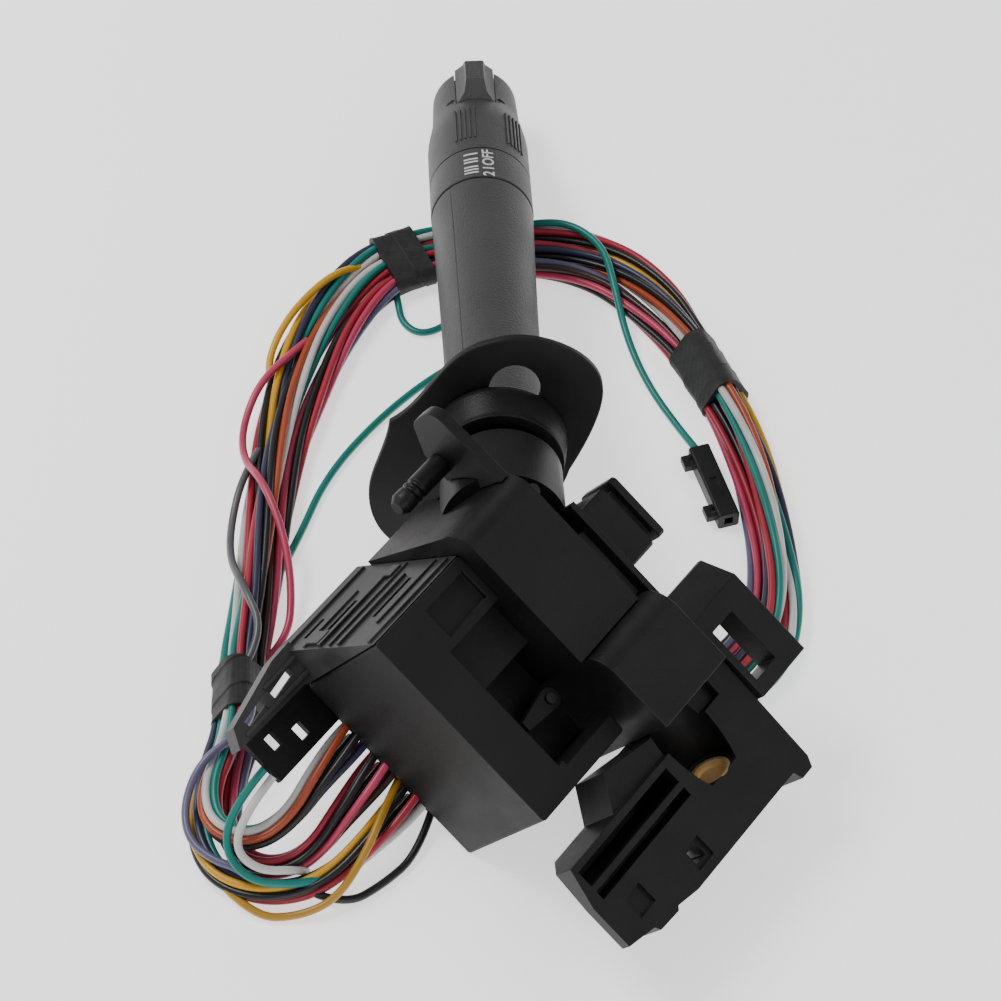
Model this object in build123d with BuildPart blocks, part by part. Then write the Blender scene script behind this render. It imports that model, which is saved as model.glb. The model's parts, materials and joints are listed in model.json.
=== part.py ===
"""Combination stalk switch: the lever switch of a steering column, with its wiring harness.

Lengths are in millimetres. The switch body is drawn in its own axes: X along the case, Y towards the
lever and Z out of the case's top. The lever is drawn in its own axes too: Z along the lever, X to the
left and Y up, seen from the body. Both are then put down as they lie on a bench: Z is up, and the
lever points along +Y and down until its knob touches the bench.
"""
import os
from math import cos, pi, radians, sin, sqrt, tan

from build123d import *

os.makedirs("parts", exist_ok=True)

# How the switch lies on the bench
body_turn = 39.0
body_tilt = 32.0
bench_dip = 12.88
case_corner = Vector(-37.45, -96.3, 72.93)

# Gaps: a seat, a snug joint and a running fit
seat = 0.3
snug = 0.1
slip = 0.05

# Switch case
case_length = 64.0
case_width = 36.0
case_height = 46.0
case_wall = 2.4
case_edge = 1.2
ledge_left = 15.6
ledge_front = 14.5
shallow_length = 41.4
shallow_depth = 5.0
deep_left = 30.0
deep_front = 16.5
deep_length = 28.5
deep_depth = 17.0
latch_length = 9.5
latch_width = 16.0
latch_depth = 2.0

# Pivot housing
housing_length = 42.0
housing_depth = 26.0
housing_rise = 8.0
housing_drop = 40.0
housing_side = 6.0
housing_flare = 6.0
housing_round = 7.5
housing_wall = 2.4

# Ear and its locating peg
ear_reach = 26.5
ear_top = 4.5
ear_drop = 22.0
ear_thickness = 3.5
ear_round = 5.0
peg_radius = 3.25
peg_length = 19.0
peg_offset = 13.0
peg_level = -12.5
peg_groove = 0.6

# Lever joint: the centre that the lever swings about, and the ball and cups around it
pivot = Vector(2.4, case_width + 28.3, -16.0)
ball_radius = 9.0
carrier_radius = 13.3
carrier_half = 9.0
boss_radius = 17.0
boss_front = 14.0
boss_back = 6.0
mouth_radius = 14.6
trunnion_radius = 2.0
trunnion_grip = 2.0
flash_pin_radius = 1.5
neck_radius = 7.0
stem_radius = 8.0
tail_radius = 4.5
tail_length = 14.0
plunger_radius = 2.5
tail_sweep = 7.4
plunger_reach = 17.2
spring_wire = 0.6

# Lever, by distance from the pivot along it
collar_start = 18.8
shield_start = 31.0
shield_thickness = 2.2
ring_start = 139.6
knob_start = 155.4
knob_end = 207.0
grip_root_radius = 13.4
grip_waist_radius = 14.2
grip_tip_radius = 15.5
collar_radius = 19.2
collar_steps = 4
collar_step = 0.45
shell_wall = 2.3
core_radius = 5.0
core_bore = 4.0
spindle_radius = 3.5
spindle_end = 181.0
knob_radius = 15.6
knob_web = 170.0
knob_neck_radius = 14.0
knob_dome_radius = 13.2
knob_dome_round = 5.0
rib_count = 5
rib_start = 161.0
rib_end = 178.0
rib_width = 0.7
rib_proud = 0.35
rib_pitch = 5.5
rib_patches = (64.0, 125.0)

# Washer paddle
paddle_start = 184.6
paddle_root_width = 12.0
paddle_tip_width = 5.6
paddle_height = 18.2
fin_front = 190.4
fin_back = 202.4
fin_waist = 15.4
paddle_floor = 11.0
paddle_press = 8.0
paddle_pin_radius = 1.0

# Side cover
cover_slant = 12.3
cover_wall = 2.4
tongue_length = 30.0
tongue_height = 6.2

# Knuckle and channel bracket
knuckle_length = 27.0
knuckle_front = case_width + 2.0
knuckle_depth = 28.0
knuckle_rise = 14.0
knuckle_drop = 30.0
knuckle_round = 8.0
channel_left = case_length + 11.5
channel_right = channel_left + 29.5
channel_front = -11.0
channel_back = knuckle_front + knuckle_depth + 1.0
hollow_width = 4.8
hollow_length = 7.6
channel_undercut = 11.0
channel_lip = 4.0
channel_top = 8.0
channel_drop = 12.0
neck_front = 14.0
neck_back = channel_back - 7.0
neck_top = 5.0
plate_thickness = 4.0
groove_width = 5.2
channel_rib = 1.8
second_groove = 2.8
square_hole = 4.0
square_seat = 6.6

# Brass bush
bush_at = Vector(channel_left + 13.1, case_width + 8.8, 1.8)
bush_lean = 68.0
bush_radius = 6.2
bush_bore = 4.1
bush_face_bore = 5.2
bush_length = 9.0
pocket_radius = 8.4
pocket_lift = 0.8
pocket_length = 26.0

# Hook for the wires
hook_depth = 22.0
hook_left = housing_length + 7.0
hook_right = hook_left + 36.0
hook_top = 10.0
hook_bottom = 0.0
hook_slope = 8.0
window_left = hook_left + 14.0
window_length = 17.5
window_width = 9.0
window_inset = 4.2

# Rails behind the pivot housing
rail_thickness = 1.8
rail_gap = 3.7
rail_left = 12.0
rail_drop = 20.0

# Hazard button
hazard_left = 17.0
hazard_length = 21.0
hazard_height = 18.0
hazard_top = -6.0
hazard_depth = 16.0
hazard_wall = 2.5
hazard_travel = 2.8
button_flange = 2.5

# Terminal block under the case
block_left = 12.0
block_length = 38.0
block_depth = 27.0
block_drop = 6.0
tray_length = 26.0
tray_width = 14.0
tray_thickness = 2.4

# Cancelling pawl in the deep recess
pawl_x = 45.0
pawl_y = 30.5
pawl_arm = 11.0
pawl_hub = 3.0
pawl_thickness = 3.0
pawl_pin_radius = 1.5

# Screws
screw_radius = 1.3
screw_length = 6.0
screw_head_radius = 2.7
screw_head = 1.6


def on_the_bench(turn, tilt, corner):
    """The body's axes: turned clockwise seen from above, then tilted down to the right."""
    turned = radians(turn)
    tilted = radians(tilt)
    along_x = Vector(cos(turned) * cos(tilted), -sin(turned) * cos(tilted), -sin(tilted))
    out_of_top = Vector(cos(turned) * sin(tilted), -sin(turned) * sin(tilted), cos(tilted))
    return Plane(origin=corner, x_dir=along_x, z_dir=out_of_top)


bench = on_the_bench(body_turn, body_tilt, case_corner)


def in_body_axes(direction):
    """A direction of the bench, said in the body's own axes."""
    return bench.to_local_coords(case_corner + direction)


lever_way = in_body_axes(Vector(0, cos(radians(bench_dip)), -sin(radians(bench_dip))))
stalk = Plane(origin=pivot, x_dir=in_body_axes(Vector(-1, 0, 0)), z_dir=lever_way)
flash_way = Vector(0, 0, 1).cross(lever_way).normalized()

on_body = bench.location
on_stalk = bench.location * stalk.location


def finish(part, name, place):
    """Put a finished piece where it lies, name it and write it."""
    piece = part.moved(place)
    piece.label = name
    export_step(piece, f"parts/{name}.step")


def crosswise(y):
    """The upright plane across the body at y: its own x is X and its own y is Z."""
    return Plane(origin=(0, y, 0), x_dir=(1, 0, 0), z_dir=(0, -1, 0))


def turned_piece(outline):
    """A round piece of the lever: the outline's points are (radius, distance along the lever)."""
    with BuildPart() as piece:
        with BuildSketch(Plane.XZ):
            with BuildLine():
                Polyline(*outline, close=True)
            make_face()
        revolve(axis=Axis.Z)
    return piece.part


def spring_coil(radius, height, pitch):
    """A coil spring of round wire, standing on Z = 0."""
    with BuildPart() as coil:
        with BuildLine():
            turns = Helix(pitch=pitch, height=height, radius=radius)
        with BuildSketch(Plane(origin=turns @ 0, z_dir=turns % 0)):
            Circle(spring_wire / 2)
        sweep(is_frenet=True)
    return coil.part


# The screw posts stand in the case and the housing, and the screws follow them
post_inset = 7.0
case_posts = [(post_inset, post_inset), (case_length - post_inset, case_width - post_inset)]
housing_posts = [
    (housing_length - post_inset, case_width + post_inset),
    (housing_length - post_inset, case_width + housing_depth - 5.0),
]
post_radius = 3.0

# Switch case: a box open below, with a stepped recess in its top
cavity_roof = -(deep_depth + case_wall)
with BuildPart() as switch_case:
    with BuildSketch(Plane.XY.offset(-case_height)):
        Rectangle(case_length, case_width, align=Align.MIN)
    extrude(amount=case_height)
    fillet(switch_case.edges().filter_by(Axis.Z), case_edge)
    with BuildSketch(Plane.XY):
        with Locations((ledge_left, ledge_front)):
            Rectangle(shallow_length, case_width - ledge_front, align=Align.MIN)
    extrude(amount=-shallow_depth, mode=Mode.SUBTRACT)
    with BuildSketch(Plane.XY):
        with Locations((deep_left, deep_front)):
            Rectangle(deep_length, case_width - deep_front, align=Align.MIN)
    extrude(amount=-deep_depth, mode=Mode.SUBTRACT)
    with BuildSketch(Plane.XY):
        with Locations((case_wall + case_edge, case_width - latch_width - case_wall)):
            Rectangle(latch_length, latch_width, align=Align.MIN)
    extrude(amount=-latch_depth, mode=Mode.SUBTRACT)
    with BuildSketch(Plane.XY.offset(-case_height)):
        with Locations((case_length / 2, case_width / 2)):
            Rectangle(case_length - 2 * case_wall, case_width - 2 * case_wall)
    extrude(amount=case_height + cavity_roof, mode=Mode.SUBTRACT)
    with BuildSketch(Plane.XY.offset(cavity_roof)):
        with Locations(*case_posts):
            Circle(post_radius)
    extrude(amount=-(case_height + cavity_roof) + 4.0 + seat)
    with BuildSketch(Plane.XY.offset(-case_height)):
        with Locations(*case_posts):
            Circle(screw_radius)
    extrude(amount=4.0 + screw_length, mode=Mode.SUBTRACT)
finish(switch_case.part, "switch_case", on_body)

# Terminal block: the plate that closes the case, the block that the wires leave by, and a wire tray
plate_rise = 4.0
with BuildPart() as terminal_block:
    with BuildSketch(Plane.XY.offset(-case_height)):
        with Locations((case_length / 2, case_width / 2)):
            Rectangle(case_length - 2 * case_wall - 2 * snug, case_width - 2 * case_wall - 2 * snug)
    extrude(amount=plate_rise)
    with BuildSketch(Plane.XY.offset(-case_height)):
        with Locations((block_left, case_wall + snug)):
            Rectangle(block_length, block_depth, align=Align.MIN)
    extrude(amount=-block_drop)
    with BuildSketch(Plane.XY.offset(-case_height - block_drop)):
        with Locations((block_left - tray_width, case_wall + snug - tray_length)):
            Rectangle(tray_width + 1.0, tray_length + 4.0, align=Align.MIN)
    extrude(amount=tray_thickness)
    with BuildSketch(Plane.XY.offset(-case_height - block_drop)):
        with Locations((4.0, -17.0), (7.5, -9.0)):
            Rectangle(4.5, 3.2)
    extrude(amount=tray_thickness, mode=Mode.SUBTRACT)
    with BuildSketch(crosswise(case_wall + snug)):
        with Locations((block_left + block_length / 2, -case_height - block_drop / 2 + 0.2)):
            with GridLocations(5.2, 2.9, 7, 2):
                Rectangle(4.2, 2.2)
    extrude(amount=-1.2, mode=Mode.SUBTRACT)
    with BuildSketch(Plane.XY.offset(-case_height)):
        with Locations(*case_posts):
            Circle(screw_radius + slip)
    extrude(amount=plate_rise, mode=Mode.SUBTRACT)
finish(terminal_block.part, "terminal_block", on_body)

# Contact board on the terminal block, with two rows of contact studs
with BuildPart() as contact_board:
    with BuildSketch(Plane.XY.offset(-case_height + plate_rise + seat)):
        with Locations((case_length / 2, case_width / 2)):
            Rectangle(case_length - 2 * case_wall - 18.0, case_width - 2 * case_wall - 3.0)
            with GridLocations(case_length - 22.0, case_width - 14.0, 2, 2):
                Circle(1.2, mode=Mode.SUBTRACT)
    extrude(amount=1.6)
    with BuildSketch(Plane.XY.offset(-case_height + plate_rise + seat + 1.6)):
        with Locations((case_length / 2, case_width / 2)):
            with GridLocations(6.0, 9.0, 6, 2):
                Circle(1.6)
    extrude(amount=1.4)
finish(contact_board.part, "contact_board", on_body)

# Pivot housing: rounded over its left edge, flared down its left side, with ear and lever socket
housing_front = case_width
housing_back = case_width + housing_depth
left_low = -housing_side - housing_flare
base_thickness = 2.4
ear_back = pivot.Y - 2.8


def housing_section(wall):
    """The pivot housing's section, drawn in by the wall's thickness, and open below."""
    lean = housing_flare / housing_drop
    return [
        (-housing_side + wall, housing_rise - wall),
        (housing_length - wall, housing_rise - wall),
        (housing_length - wall, -housing_drop),
        (left_low + wall, -housing_drop),
        (-housing_side + wall, -wall * lean),
    ]


with BuildPart() as pivot_housing:
    with BuildSketch(crosswise(housing_front)):
        with BuildLine():
            Polyline(*housing_section(0), close=True)
        make_face()
    extrude(amount=-housing_depth)
    over_the_left = pivot_housing.edges().filter_by(Axis.Y).group_by(Axis.Z)[-1].sort_by(Axis.X)[0]
    fillet(over_the_left, housing_round)
    with BuildSketch(stalk.offset(-boss_back)):
        Circle(boss_radius)
    extrude(amount=boss_back + boss_front)
    with BuildSketch(crosswise(housing_front + housing_wall)):
        with BuildLine():
            Polyline(*housing_section(housing_wall), close=True)
        make_face()
    extrude(amount=-(housing_depth - 2 * housing_wall), mode=Mode.SUBTRACT)
    with BuildSketch(stalk.offset(-boss_back)):
        Circle(boss_radius)
    extrude(amount=boss_back + boss_front)
    with BuildSketch(Plane.XY.offset(housing_rise - housing_wall)):
        with Locations(*housing_posts):
            Circle(post_radius)
    extrude(amount=-(housing_rise - housing_wall + housing_drop) + base_thickness + seat)
    with BuildSketch(Plane.XY.offset(-housing_drop)):
        with Locations(*housing_posts):
            Circle(screw_radius)
    extrude(amount=base_thickness + screw_length, mode=Mode.SUBTRACT)
    with Locations(pivot):
        Sphere(carrier_radius + seat, mode=Mode.SUBTRACT)
    with BuildSketch(stalk):
        Circle(carrier_radius)
    with BuildSketch(stalk.offset(boss_front)):
        Circle(mouth_radius)
    loft(mode=Mode.SUBTRACT)
    with BuildSketch(stalk):
        Circle(plunger_radius + tail_sweep)
    extrude(amount=-(boss_radius + 3.0), mode=Mode.SUBTRACT)
    # The crescent slot near the socket's rim, seen beside the lever
    with BuildSketch(stalk.offset(boss_front - 4.6)):
        Circle(boss_radius + 1.0)
        Circle(mouth_radius + 0.6, mode=Mode.SUBTRACT)
        with Locations(Location((0, 0), 205)):
            Rectangle(2 * boss_radius, boss_radius + 2.0, align=(Align.CENTER, Align.MIN), mode=Mode.INTERSECT)
    extrude(amount=2.4, mode=Mode.SUBTRACT)
    # The trunnion pins are pressed in, above and below the ball
    with Locations(pivot):
        Cylinder(trunnion_radius, 4 * boss_radius, mode=Mode.SUBTRACT)
finish(pivot_housing.part, "pivot_housing", on_body)

# Ear: the plate beside the lever's socket that holds the locating peg, fitted round the housing
with BuildPart() as housing_room:
    with BuildSketch(crosswise(housing_front)):
        with BuildLine():
            Polyline(*housing_section(-seat), close=True)
        make_face()
    extrude(amount=-housing_depth)
    rounded_edge = housing_room.edges().filter_by(Axis.Y).group_by(Axis.Z)[-1].sort_by(Axis.X)[0]
    fillet(rounded_edge, housing_round)
    with BuildSketch(stalk.offset(-boss_back)):
        Circle(boss_radius + seat)
    extrude(amount=boss_back + boss_front)

with BuildPart() as peg_ear:
    with BuildSketch(crosswise(ear_back)):
        with BuildLine():
            Polyline(
                (0, ear_top),
                (-housing_side - ear_reach, ear_top - 1.5),
                (-housing_side - ear_reach, ear_top - 13.0),
                (-housing_side - ear_reach + 9.0, ear_top - 20.0),
                (0, ear_top - ear_drop),
                close=True,
            )
        ear_face = make_face()
        fillet(ear_face.vertices().group_by(Axis.X)[0], ear_round)
    extrude(amount=ear_thickness)
    add(housing_room.part, mode=Mode.SUBTRACT)
    with BuildSketch(crosswise(ear_back - ear_thickness)):
        with Locations((-housing_side - peg_offset, peg_level)):
            Circle(peg_radius - 1.0)
    extrude(amount=-ear_thickness, mode=Mode.SUBTRACT)
finish(peg_ear.part, "peg_ear", on_body)

# Locating peg: a pin pressed through the ear, with two ring grooves and a tapered tip
with BuildPart() as locating_peg:
    with BuildSketch(Plane.XZ):
        with BuildLine():
            Polyline(
                (0, ear_thickness),
                (peg_radius - 1.0, ear_thickness),
                (peg_radius - 1.0, 0),
                (peg_radius, 0),
                (peg_radius, -10.4),
                (peg_radius - peg_groove, -10.8),
                (peg_radius - peg_groove, -11.4),
                (peg_radius, -11.8),
                (peg_radius, -12.6),
                (peg_radius - peg_groove, -13.0),
                (peg_radius - peg_groove, -13.6),
                (peg_radius, -14.0),
                (peg_radius, -peg_length + 2.0),
                (peg_radius - 1.2, -peg_length),
                (0, -peg_length),
                close=True,
            )
        make_face()
    revolve(axis=Axis.Z)
peg_place = Plane(
    origin=(-housing_side - peg_offset, ear_back - ear_thickness, peg_level), x_dir=(1, 0, 0), z_dir=(0, 1, 0)
)
finish(locating_peg.part, "locating_peg", on_body * peg_place.location)

# Base plate of the pivot housing
with BuildPart() as pivot_base:
    with BuildSketch(Plane.XY.offset(-housing_drop)):
        with Locations((left_low + housing_wall + 1.0, housing_front + housing_wall + snug)):
            Rectangle(
                housing_length - left_low - 2 * housing_wall - 1.0 - snug,
                housing_depth - 2 * housing_wall - 2 * snug,
                align=Align.MIN,
            )
        with Locations(*housing_posts):
            Circle(screw_radius + slip, mode=Mode.SUBTRACT)
    extrude(amount=base_thickness)
finish(pivot_base.part, "pivot_base", on_body)

# Screws: pan heads below the case and the pivot housing
with BuildPart() as base_screws:
    for posts, level in ((case_posts, -case_height), (housing_posts, -housing_drop)):
        with BuildSketch(Plane.XY.offset(level)):
            with Locations(*posts):
                Circle(screw_head_radius)
        extrude(amount=-screw_head)
        with BuildSketch(Plane.XY.offset(level)):
            with Locations(*posts):
                Circle(screw_radius)
        extrude(amount=screw_length)
finish(base_screws.part, "base_screws", on_body)

# Lever joint: the carrier is a ball with a bore for the lever, on two trunnion pins
with BuildPart() as turn_carrier:
    Sphere(carrier_radius)
    with BuildSketch(Plane.XY.offset(-carrier_half)):
        Circle(carrier_radius + 1.0)
    extrude(amount=2 * carrier_half, mode=Mode.INTERSECT)
    with BuildSketch(Plane.XY.offset(-carrier_half)):
        Circle(ball_radius + seat)
    extrude(amount=2 * carrier_half, mode=Mode.SUBTRACT)
    flash_axis = Plane(origin=(0, 0, 0), z_dir=stalk.to_local_coords(pivot + flash_way))
    with BuildSketch(flash_axis.offset(-carrier_radius)):
        Circle(flash_pin_radius)
    extrude(amount=2 * carrier_radius, mode=Mode.SUBTRACT)
    trunnion_axis = Plane(origin=(0, 0, 0), z_dir=stalk.to_local_coords(pivot + Vector(0, 0, 1)))
    with BuildSketch(trunnion_axis.offset(-carrier_radius)):
        Circle(trunnion_radius + slip)
    extrude(amount=2 * carrier_radius, mode=Mode.SUBTRACT)
finish(turn_carrier.part, "turn_carrier", on_stalk)

with BuildPart() as trunnion_pins:
    with BuildSketch(trunnion_axis.offset(carrier_radius - trunnion_grip)):
        Circle(trunnion_radius)
    extrude(amount=boss_radius + 2.0 - carrier_radius + trunnion_grip)
    mirror(about=trunnion_axis)
finish(trunnion_pins.part, "trunnion_pins", on_stalk)

with BuildPart() as flash_pin:
    with BuildSketch(flash_axis.offset(-carrier_radius + 0.6)):
        Circle(flash_pin_radius)
    extrude(amount=2 * carrier_radius - 1.2)
finish(flash_pin.part, "flash_pin", on_stalk)

# Lever root: ball, neck and stem in one, with a tail that holds the detent plunger
stem_end = shield_start + shield_thickness + 0.4
with BuildPart() as lever_root:
    with BuildSketch(Plane.XY.offset(-tail_length)):
        Circle(tail_radius)
    extrude(amount=tail_length)
    with BuildSketch(Plane.XY):
        Circle(neck_radius)
    extrude(amount=collar_start)
    with BuildSketch(Plane.XY.offset(collar_start - 2.0)):
        Circle(stem_radius)
    extrude(amount=stem_end - collar_start + 2.0)
    Sphere(ball_radius)
    with BuildSketch(Plane.XY.offset(stem_end)):
        Circle(core_radius)
    extrude(amount=-(stem_end - 12.0), mode=Mode.SUBTRACT)
    with BuildSketch(Plane.XY.offset(-tail_length)):
        Circle(plunger_radius + snug)
    extrude(amount=tail_length - 5.0, mode=Mode.SUBTRACT)
    with BuildSketch(flash_axis.offset(-ball_radius)):
        Circle(flash_pin_radius + slip)
    extrude(amount=2 * ball_radius, mode=Mode.SUBTRACT)
finish(lever_root.part, "lever_root", on_stalk)

# Detent: a domed plunger and its spring in the tail, and the cam block that they press on
plunger_length = 8.0
with BuildPart() as detent_plunger:
    with BuildSketch(Plane.XY.offset(-plunger_reach)):
        Circle(plunger_radius)
    extrude(amount=plunger_length)
    fillet(detent_plunger.edges().group_by(Axis.Z)[0], plunger_radius * 0.8)
finish(detent_plunger.part, "detent_plunger", on_stalk)

spring_room = plunger_reach - plunger_length - 5.0
detent_spring = spring_coil(plunger_radius - 0.6, spring_room - spring_wire - 2 * snug, 1.1)
spring_seat = Location((0, 0, -plunger_reach + plunger_length + spring_wire / 2 + snug))
finish(detent_spring, "detent_spring", on_stalk * spring_seat)

with BuildPart() as detent_cam:
    with BuildSketch(Plane.XY.offset(housing_rise - housing_wall)):
        with Locations((3.0, housing_front + housing_wall)):
            Rectangle(16.0, 14.0, align=Align.MIN)
    extrude(amount=-20.0)
    with Locations(pivot):
        Sphere(plunger_reach + seat, mode=Mode.SUBTRACT)
        Cylinder(trunnion_radius + 1.0, 4 * boss_radius, mode=Mode.SUBTRACT)
finish(detent_cam.part, "detent_cam", on_body)

# Collar behind the shield: a stepped cup that rides on the lever's stem
step_length = (shield_start - collar_start) / collar_steps
collar_outline = []
for step in range(collar_steps):
    step_radius = collar_radius - collar_step * (collar_steps - 1 - step)
    collar_outline.append((step_radius, collar_start + step * step_length))
    collar_outline.append((step_radius, collar_start + (step + 1) * step_length - 0.8))
collar_outline += [
    (collar_radius - 1.0, shield_start),
    (stem_radius + snug, shield_start),
    (stem_radius + snug, collar_start + 1.0),
    (stem_radius + 2.0, collar_start + 1.0),
    (stem_radius + 2.0, shield_start - 2.2),
    (collar_radius - 4.6, shield_start - 2.2),
    (collar_radius - 4.6, collar_start),
]
finish(turned_piece(collar_outline), "shield_collar", on_stalk)

# Shield: the leaf-shaped plate, with its half-moon opening above the collar
with BuildPart() as lever_shield:
    with BuildSketch(Plane.XY.offset(shield_start)):
        with BuildLine():
            right_side = Spline((-20.0, -12.0), (-27.5, 5.5), (-28.5, 20.0), (-17.0, 31.5), (1.0, 33.5))
            left_shoulder = Spline(right_side @ 1, (15.0, 24.0), (23.6, 12.5), (30.0, 7.0))
            left_side = Spline(left_shoulder @ 1, (33.2, -5.0), (36.4, -16.0), (32.0, -34.0), (22.0, -40.0))
            lower = Spline(left_side @ 1, (8.0, -38.0), (-8.0, -30.0), right_side @ 0)
        make_face()
        Circle(stem_radius + snug, mode=Mode.SUBTRACT)
        with Locations((-4.8, collar_radius - 2.2)):
            Ellipse(7.2, 8.4, mode=Mode.SUBTRACT)
    extrude(amount=shield_thickness)
    fillet(lever_shield.faces().sort_by(Axis.Z)[0].outer_wire().edges(), 0.5)
finish(lever_shield.part, "lever_shield", on_stalk)

# Grip: a hollow tapering handle with its end wall against the shield
grip_start = shield_start + shield_thickness
with BuildPart() as lever_grip:
    with BuildSketch(Plane.XZ):
        with BuildLine():
            foot = Line((core_radius + snug, stem_end + seat), (stem_radius + 2.0, stem_end + seat))
            heel = Line(foot @ 1, (grip_root_radius, grip_start + seat))
            skin = Spline(
                heel @ 1, (grip_waist_radius, 88.0), (grip_tip_radius, ring_start - seat)
            )
            rim = Line(skin @ 1, (grip_tip_radius - shell_wall, ring_start - seat))
            lining = Spline(
                rim @ 1,
                (grip_tip_radius - shell_wall, ring_start - 5.0),
                (grip_waist_radius - shell_wall, 88.0),
                (grip_root_radius - shell_wall, 38.0),
            )
            floor = Line(lining @ 1, (core_radius + snug, 38.0))
            bore = Line(floor @ 1, foot @ 0)
        make_face()
    revolve(axis=Axis.Z)
finish(lever_grip.part, "lever_grip", on_stalk)

# Core tube in the stem and up through the grip, and the spindle that the knob turns on
core_end = 150.0
core_outline = [
    (core_bore, 14.0),
    (core_radius, 14.0),
    (core_radius, core_end),
    (core_bore, core_end),
]
finish(turned_piece(core_outline), "lever_core", on_stalk)

spindle_outline = [
    (0, core_end - 14.0),
    (core_bore, core_end - 14.0),
    (core_bore, core_end),
    (core_radius + 1.0, core_end),
    (core_radius + 1.0, core_end + 1.6),
    (spindle_radius, core_end + 1.6),
    (spindle_radius, spindle_end),
    (0, spindle_end),
]
finish(turned_piece(spindle_outline), "knob_spindle", on_stalk)

# Marking ring: fixed between grip and knob, with a spigot in the grip and a web on the core tube
spigot_radius = grip_tip_radius - shell_wall - snug
ring_outline = [
    (core_radius + snug, ring_start - 4.0),
    (spigot_radius, ring_start - 4.0),
    (spigot_radius, ring_start),
    (knob_radius, ring_start),
    (knob_radius, knob_start - seat),
    (knob_radius - shell_wall, knob_start - seat),
    (knob_radius - shell_wall, ring_start + 2.4),
    (core_radius + snug, ring_start + 2.4),
]
finish(turned_piece(ring_outline), "marking_ring", on_stalk)

# Wiper knob: a flared cap with a rounded end, first as a full form of revolution
with BuildPart() as knob_form:
    with BuildSketch(Plane.XZ):
        with BuildLine():
            lip = Line((0, knob_start), (knob_radius, knob_start))
            collar = Line(lip @ 1, (knob_radius, rib_end - 5.0))
            flare = Spline(
                collar @ 1,
                (knob_neck_radius, (rib_end + knob_end) / 2 - 5.5),
                (knob_dome_radius, knob_end - knob_dome_round),
                tangents=[(0, 1), (-0.05, 1)],
            )
            dome = ThreePointArc(
                flare @ 1,
                (knob_dome_radius - 0.29 * knob_dome_round, knob_end - 0.29 * knob_dome_round),
                (knob_dome_radius - knob_dome_round, knob_end),
            )
            crown = Line(dome @ 1, (0, knob_end))
            middle = Line(crown @ 1, lip @ 0)
        make_face()
    revolve(axis=Axis.Z)

# The knob is the form with its hub and its hollow, ribs for the fingers, and a slot for the paddle
with BuildPart() as wiper_knob:
    add(knob_form.part)
    with BuildSketch(Plane.XY.offset(knob_start)):
        Circle(knob_radius - shell_wall)
        Circle(spindle_radius + 2.6, mode=Mode.SUBTRACT)
    extrude(amount=knob_web - knob_start, mode=Mode.SUBTRACT)
    with BuildSketch(Plane.XY.offset(knob_start)):
        Circle(spindle_radius + slip)
    extrude(amount=spindle_end + 1.0 - knob_start, mode=Mode.SUBTRACT)
    with BuildSketch(Plane.XY.offset(rib_start)):
        for patch in rib_patches:
            with PolarLocations(knob_radius, rib_count, patch, rib_pitch * (rib_count - 1), endpoint=True):
                Rectangle(2 * rib_proud, rib_width)
    extrude(amount=rib_end - rib_start)
    with BuildSketch(Plane.YZ.offset(-paddle_root_width / 2 - seat)):
        with Locations((paddle_floor - 3.6, paddle_start - seat)):
            Rectangle(12.0, knob_end - paddle_start + 2.0, align=Align.MIN)
    extrude(amount=paddle_root_width + 2 * seat, mode=Mode.SUBTRACT)
    pin_height = knob_neck_radius - 2.6
    pin_station = paddle_start + 2.6
    with BuildSketch(Plane.YZ.offset(-knob_dome_radius)):
        with Locations((pin_height, pin_station)):
            Circle(paddle_pin_radius)
    extrude(amount=2 * knob_dome_radius, mode=Mode.SUBTRACT)
finish(wiper_knob.part, "wiper_knob", on_stalk)

# Washer paddle: its fin flares down to the root, and the root fills the slot up to the knob's round
with BuildPart() as paddle_fin:
    with BuildSketch(Plane.XY.offset(paddle_start)):
        with BuildLine():
            Polyline(
                (-paddle_root_width / 2, paddle_floor + 0.4),
                (-paddle_root_width / 2, knob_neck_radius - 1.2),
                (-paddle_tip_width / 2 - 0.7, fin_waist),
                (-paddle_tip_width / 2, paddle_height),
                (paddle_tip_width / 2, paddle_height),
                (paddle_tip_width / 2 + 0.7, fin_waist),
                (paddle_root_width / 2, knob_neck_radius - 1.2),
                (paddle_root_width / 2, paddle_floor + 0.4),
                close=True,
            )
        make_face()
    extrude(amount=knob_end - paddle_start)
    with BuildSketch(Plane.YZ.offset(-paddle_root_width / 2)):
        with BuildLine():
            Polyline(
                (paddle_floor, paddle_start),
                (knob_neck_radius - 0.6, paddle_start),
                (paddle_height, fin_front),
                (paddle_height, fin_back - 1.6),
                (paddle_height - 1.6, fin_back),
                (paddle_floor, fin_back + 2.2),
                close=True,
            )
        make_face()
    extrude(amount=paddle_root_width, mode=Mode.INTERSECT)

with BuildPart() as washer_paddle:
    with BuildSketch(Plane.YZ.offset(-paddle_root_width / 2)):
        with BuildLine():
            Polyline(
                (paddle_floor - 1.0, paddle_start + 1.0),
                (knob_neck_radius - 0.6, paddle_start),
                (knob_radius, paddle_start),
                (knob_radius, knob_end),
                (paddle_floor, knob_end),
                close=True,
            )
        make_face()
    extrude(amount=paddle_root_width)
    add(knob_form.part, mode=Mode.INTERSECT)
    add(paddle_fin.part)
    with BuildSketch(Plane.YZ.offset(-paddle_root_width / 2)):
        with Locations((pin_height, pin_station)):
            Circle(paddle_pin_radius + slip)
    extrude(amount=paddle_root_width, mode=Mode.SUBTRACT)
finish(washer_paddle.part, "washer_paddle", on_stalk)

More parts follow.
